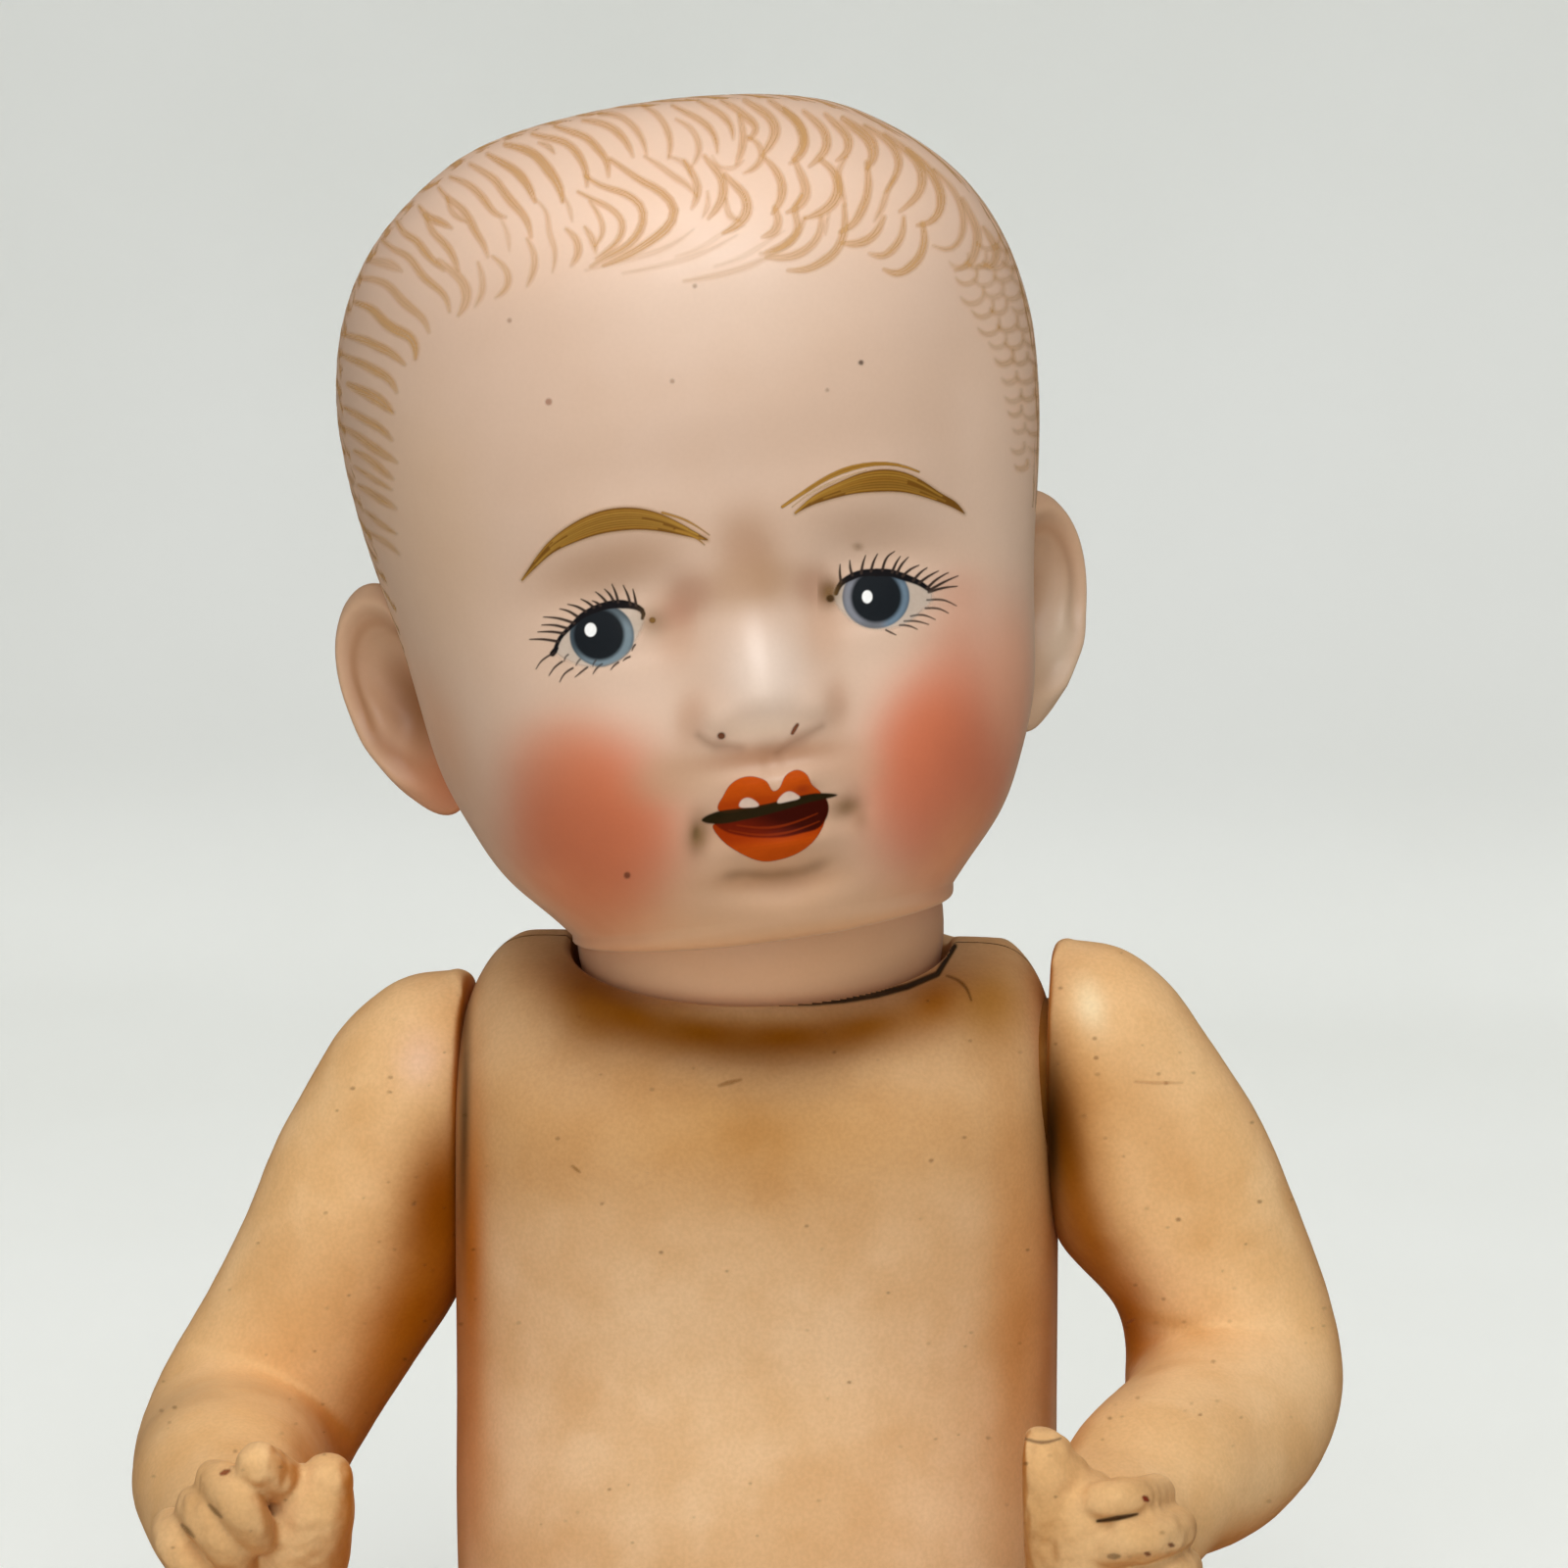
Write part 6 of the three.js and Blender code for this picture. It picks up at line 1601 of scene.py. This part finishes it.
# Name, windows of the photograph, step in its pixels, what is painted and with which paint
face_paint = [
    ("doll_hair_paint", [(338, 96, 1062, 580)], 1.3, paint_hair, soft_paint),
    ("doll_right_eye_paint", [(534, 588, 712, 702)], 0.7, paint_right_eye, eye_and_lip_paint),
    ("doll_left_eye_paint", [(834, 550, 996, 652)], 0.7, paint_left_eye, eye_and_lip_paint),
    ("doll_right_brow_paint", [(526, 510, 730, 598)], 0.8, paint_right_brow, soft_paint),
    ("doll_left_brow_paint", [(790, 466, 992, 530)], 0.8, paint_left_brow, soft_paint),
    ("doll_mouth_paint", [(690, 776, 900, 904)], 0.8, paint_mouth, eye_and_lip_paint),
    ("doll_nose_paint", [(698, 730, 850, 780)], 1.0, paint_nose, soft_paint),
    ("doll_specks_paint", [(cx - 5, cy - 5, cx + 5, cy + 5) for cx, cy, *_ in SPECKS], 1.0, paint_specks,
     soft_paint),
]
# Marks on the body and the limbs in the photograph's pixels: a line, its width, colour and strength. The
# first is a dark line of painted shade in the gap along the edge of the neck cup
BODY_MARKS = [
    ([(587, 948), (604, 974), (629, 996), (670, 1009), (714, 1016), (798, 1022), (883, 1017), (935, 1004),
      (959, 992), (974, 966)], 10.0, linear(34, 20, 4), 0.85),
    ([(734, 1108), (744, 1105), (756, 1102)], 5.0, linear(160, 104, 24), 0.35),
    ([(966, 996), (978, 1001), (986, 1009), (991, 1021)], 3.4, linear(120, 70, 8), 0.6),
    ([(584, 1190), (592, 1196)], 3.0, linear(160, 108, 40), 0.5),
]
RIGHT_ARM_MARKS = [
    ([(226, 1504), (234, 1501)], 6.0, linear(150, 80, 44), 0.7),
    ([(214, 1536), (226, 1548)], 5.0, linear(110, 80, 42), 0.4),
    ([(186, 1556), (198, 1568)], 5.0, linear(110, 80, 42), 0.4),
]
LEFT_ARM_MARKS = [
    ([(1158, 1104), (1180, 1105), (1206, 1105)], 3.4, linear(186, 136, 80), 0.25),
    ([(1120, 1552), (1140, 1549), (1160, 1545)], 5.0, linear(60, 40, 18), 0.85),
    ([(1132, 1588), (1142, 1588)], 7.0, linear(130, 100, 62), 0.45),
    ([(1167, 1528), (1171, 1531)], 6.0, linear(140, 44, 20), 0.85),
    ([(1169, 1585), (1173, 1586)], 5.0, linear(130, 70, 40), 0.7),
    ([(1193, 1576), (1197, 1577)], 5.0, linear(130, 70, 40), 0.7),
    ([(1046, 1468), (1062, 1472), (1082, 1468)], 3.4, linear(140, 110, 76), 0.6),
    ([(1150, 1350), (1158, 1346)], 3.0, linear(190, 120, 80), 0.4),
]


BODY_SPECK = linear(128, 86, 40)


def wear(marks, window, count):
    """What paints the drawn marks and scattered specks over a window of the photograph."""
    left, top, right, bottom = window
    specks = [(rng.uniform(left, right), rng.uniform(top, bottom), rng.uniform(0.8, 1.9),
               rng.uniform(0.1, 0.4)) for _ in range(count)]

    def paint(layers):
        x, y = layers.x, layers.y
        for points, width, colour, cover in marks:
            layers.lay(colour, cover * drawn(x, y, points, width * 0.6, width, width * 0.5, 1.3))
        for cx, cy, radius, cover in specks:
            part = part_near(x, y, np.array([[cx, cy]]), 6)
            bare = (layers.cover[part] < 0.05)[..., None]
            layers.colour[part] = np.where(bare, BODY_SPECK, layers.colour[part])
            layers.cover_part(part, cover * disc(x[part], y[part], cx, cy, radius * 1.4, radius, 0.9))
    return paint


for paint_name, made, body, slot, window, marks, count in (
        ("doll_body_wear_and_shade", body_pieces[0], "torso", "body", (462, 930, 1060, 1600), BODY_MARKS, 60),
        ("doll_right_arm_wear", arms["right"], "right_arm", "limbs", (146, 1000, 480, 1600), RIGHT_ARM_MARKS,
         80),
        ("doll_left_arm_wear", arms["left"], "left_arm", "limbs", (1036, 970, 1366, 1600), LEFT_ARM_MARKS,
         100)):
    paint_sheet(paint_name, tree_of(made), body, [window], 1.3, wear(marks, window, count), soft_paint)

head_tree = tree_of(head)
for paint_name, windows, step, paint, material in face_paint:
    paint_sheet(paint_name, head_tree, "head", windows, step, paint, material)
paint_sheet("doll_unseen_hair_paint", head_tree, "head", [(-68, -68, 68, 68)], 0.42,
            paint_unseen_hair, soft_paint, cast=cast_round_skull)


# The floor, the backdrop and the light
def area_light(name, place, aim, size, power):
    lamp = bpy.data.lights.new(name, "AREA")
    lamp.shape = "RECTANGLE"
    lamp.size, lamp.size_y = size
    lamp.energy = power
    made = bpy.data.objects.new(name, lamp)
    made.location = place
    made.rotation_euler = (Vector(aim) - Vector(place)).to_track_quat("-Z", "Y").to_euler()
    bpy.context.scene.collection.objects.link(made)


FLOOR_LEVEL = -0.4
FLOOR_FRONT = -900
FLOOR_BACK = 500
FLOOR_HALF_WIDTH = 1500
SWEEP_RADIUS = 160
WALL_TOP = 1600


def sweep():
    """A floor that turns up into a backdrop behind the doll."""
    profile = [(FLOOR_FRONT, FLOOR_LEVEL), (200, FLOOR_LEVEL)]
    for turn in np.radians(np.linspace(0, 90, 19)):
        profile.append((FLOOR_BACK + SWEEP_RADIUS * math.sin(turn),
                        FLOOR_LEVEL + SWEEP_RADIUS * (1 - math.cos(turn))))
    profile.append((FLOOR_BACK + SWEEP_RADIUS, WALL_TOP))
    rings = [[(x, y, z) for x in np.linspace(-FLOOR_HALF_WIDTH, FLOOR_HALF_WIDTH, 7)] for y, z in profile]
    points = np.asarray(rings).reshape(-1, 3)
    return mesh_object("floor", points, grid_faces(len(profile), 7, 0, closed=False))


WARM_ROOM = linear(120, 84, 50)
floor = sweep()
paper, paper_tree, paper_shader = new_material("paper_floor", 0.9)
paper_tone = rough_noise(paper_tree, 6.0)
paper_colour = mixed(paper_tree, paper_tone, linear(240, 242, 238), linear(236, 238, 233))
# In reflections the paper is a dim warm room, so that the skin keeps its colour at the edges
paper_seen = mixed(paper_tree, node(paper_tree, "LightPath").outputs["Is Glossy Ray"], paper_colour,
                   WARM_ROOM)
paper_tree.links.new(paper_seen, paper_shader.inputs["Base Color"])
# Seen straight by the camera the paper is a little brighter, most of all where it lies flat
height = node(paper_tree, "SeparateXYZ", i0=node(paper_tree, "TexCoord").outputs["Object"]).outputs["Z"]
flat_share = node(paper_tree, "MapRange", {"interpolation_type": "SMOOTHSTEP"}, Value=height)
set_range(flat_share, from_min=0.0, from_max=0.04, to_min=0.27, to_max=0.15)
wall_share = node(paper_tree, "MapRange", Value=height)
set_range(wall_share, from_min=0.02, from_max=0.2, to_min=1.0, to_max=0.45)
seen_only = node(paper_tree, "Math", {"operation": "MULTIPLY"},
                 i0=times(paper_tree, flat_share.outputs["Result"], wall_share.outputs["Result"]),
                 i1=node(paper_tree, "LightPath").outputs["Is Camera Ray"])
paper_tree.links.new(paper_colour, paper_shader.inputs["Emission Color"])
paper_tree.links.new(seen_only.outputs[0], paper_shader.inputs["Emission Strength"])
# Seen from behind, the paper isn't there
open_back = node(paper_tree, "MixShader", Fac=node(paper_tree, "NewGeometry").outputs["Backfacing"],
                 i1=paper_shader.outputs["BSDF"], i2=node(paper_tree, "BsdfTransparent").outputs["BSDF"])
paper_tree.links.new(open_back.outputs["Shader"], paper_tree.nodes["Material Output"].inputs["Surface"])
floor.data.materials.append(paper)

world = bpy.data.worlds.new("studio")
world.use_nodes = True
sky = world.node_tree.nodes["Background"]
sky.inputs["Strength"].default_value = 0.18
sky_seen = mixed(world.node_tree, node(world.node_tree, "LightPath").outputs["Is Glossy Ray"],
                 (1.0, 1.0, 1.0), WARM_ROOM)
world.node_tree.links.new(sky_seen, sky.inputs["Color"])
bpy.context.scene.world = world
area_light("key", (0.05, -0.62, 1.08), (0, 0, 0.1), (0.8, 0.6), 9.0)
area_light("fill", (0.0, -1.5, 0.35), (0, 0, 0.1), (1.4, 0.8), 5.2)

SENSOR_WIDTH = 36
lens = bpy.data.cameras.new("camera")
lens.sensor_width = SENSOR_WIDTH
lens.lens = FOCAL / PHOTO * SENSOR_WIDTH
lens.clip_start = 0.01
camera = bpy.data.objects.new("camera", lens)
camera.location = EYE * MM
camera.rotation_euler = Matrix((RIGHT, UP, BACK)).transposed().to_euler()
bpy.context.scene.collection.objects.link(camera)
bpy.context.scene.camera = camera
bpy.context.scene.view_settings.view_transform = "Standard"
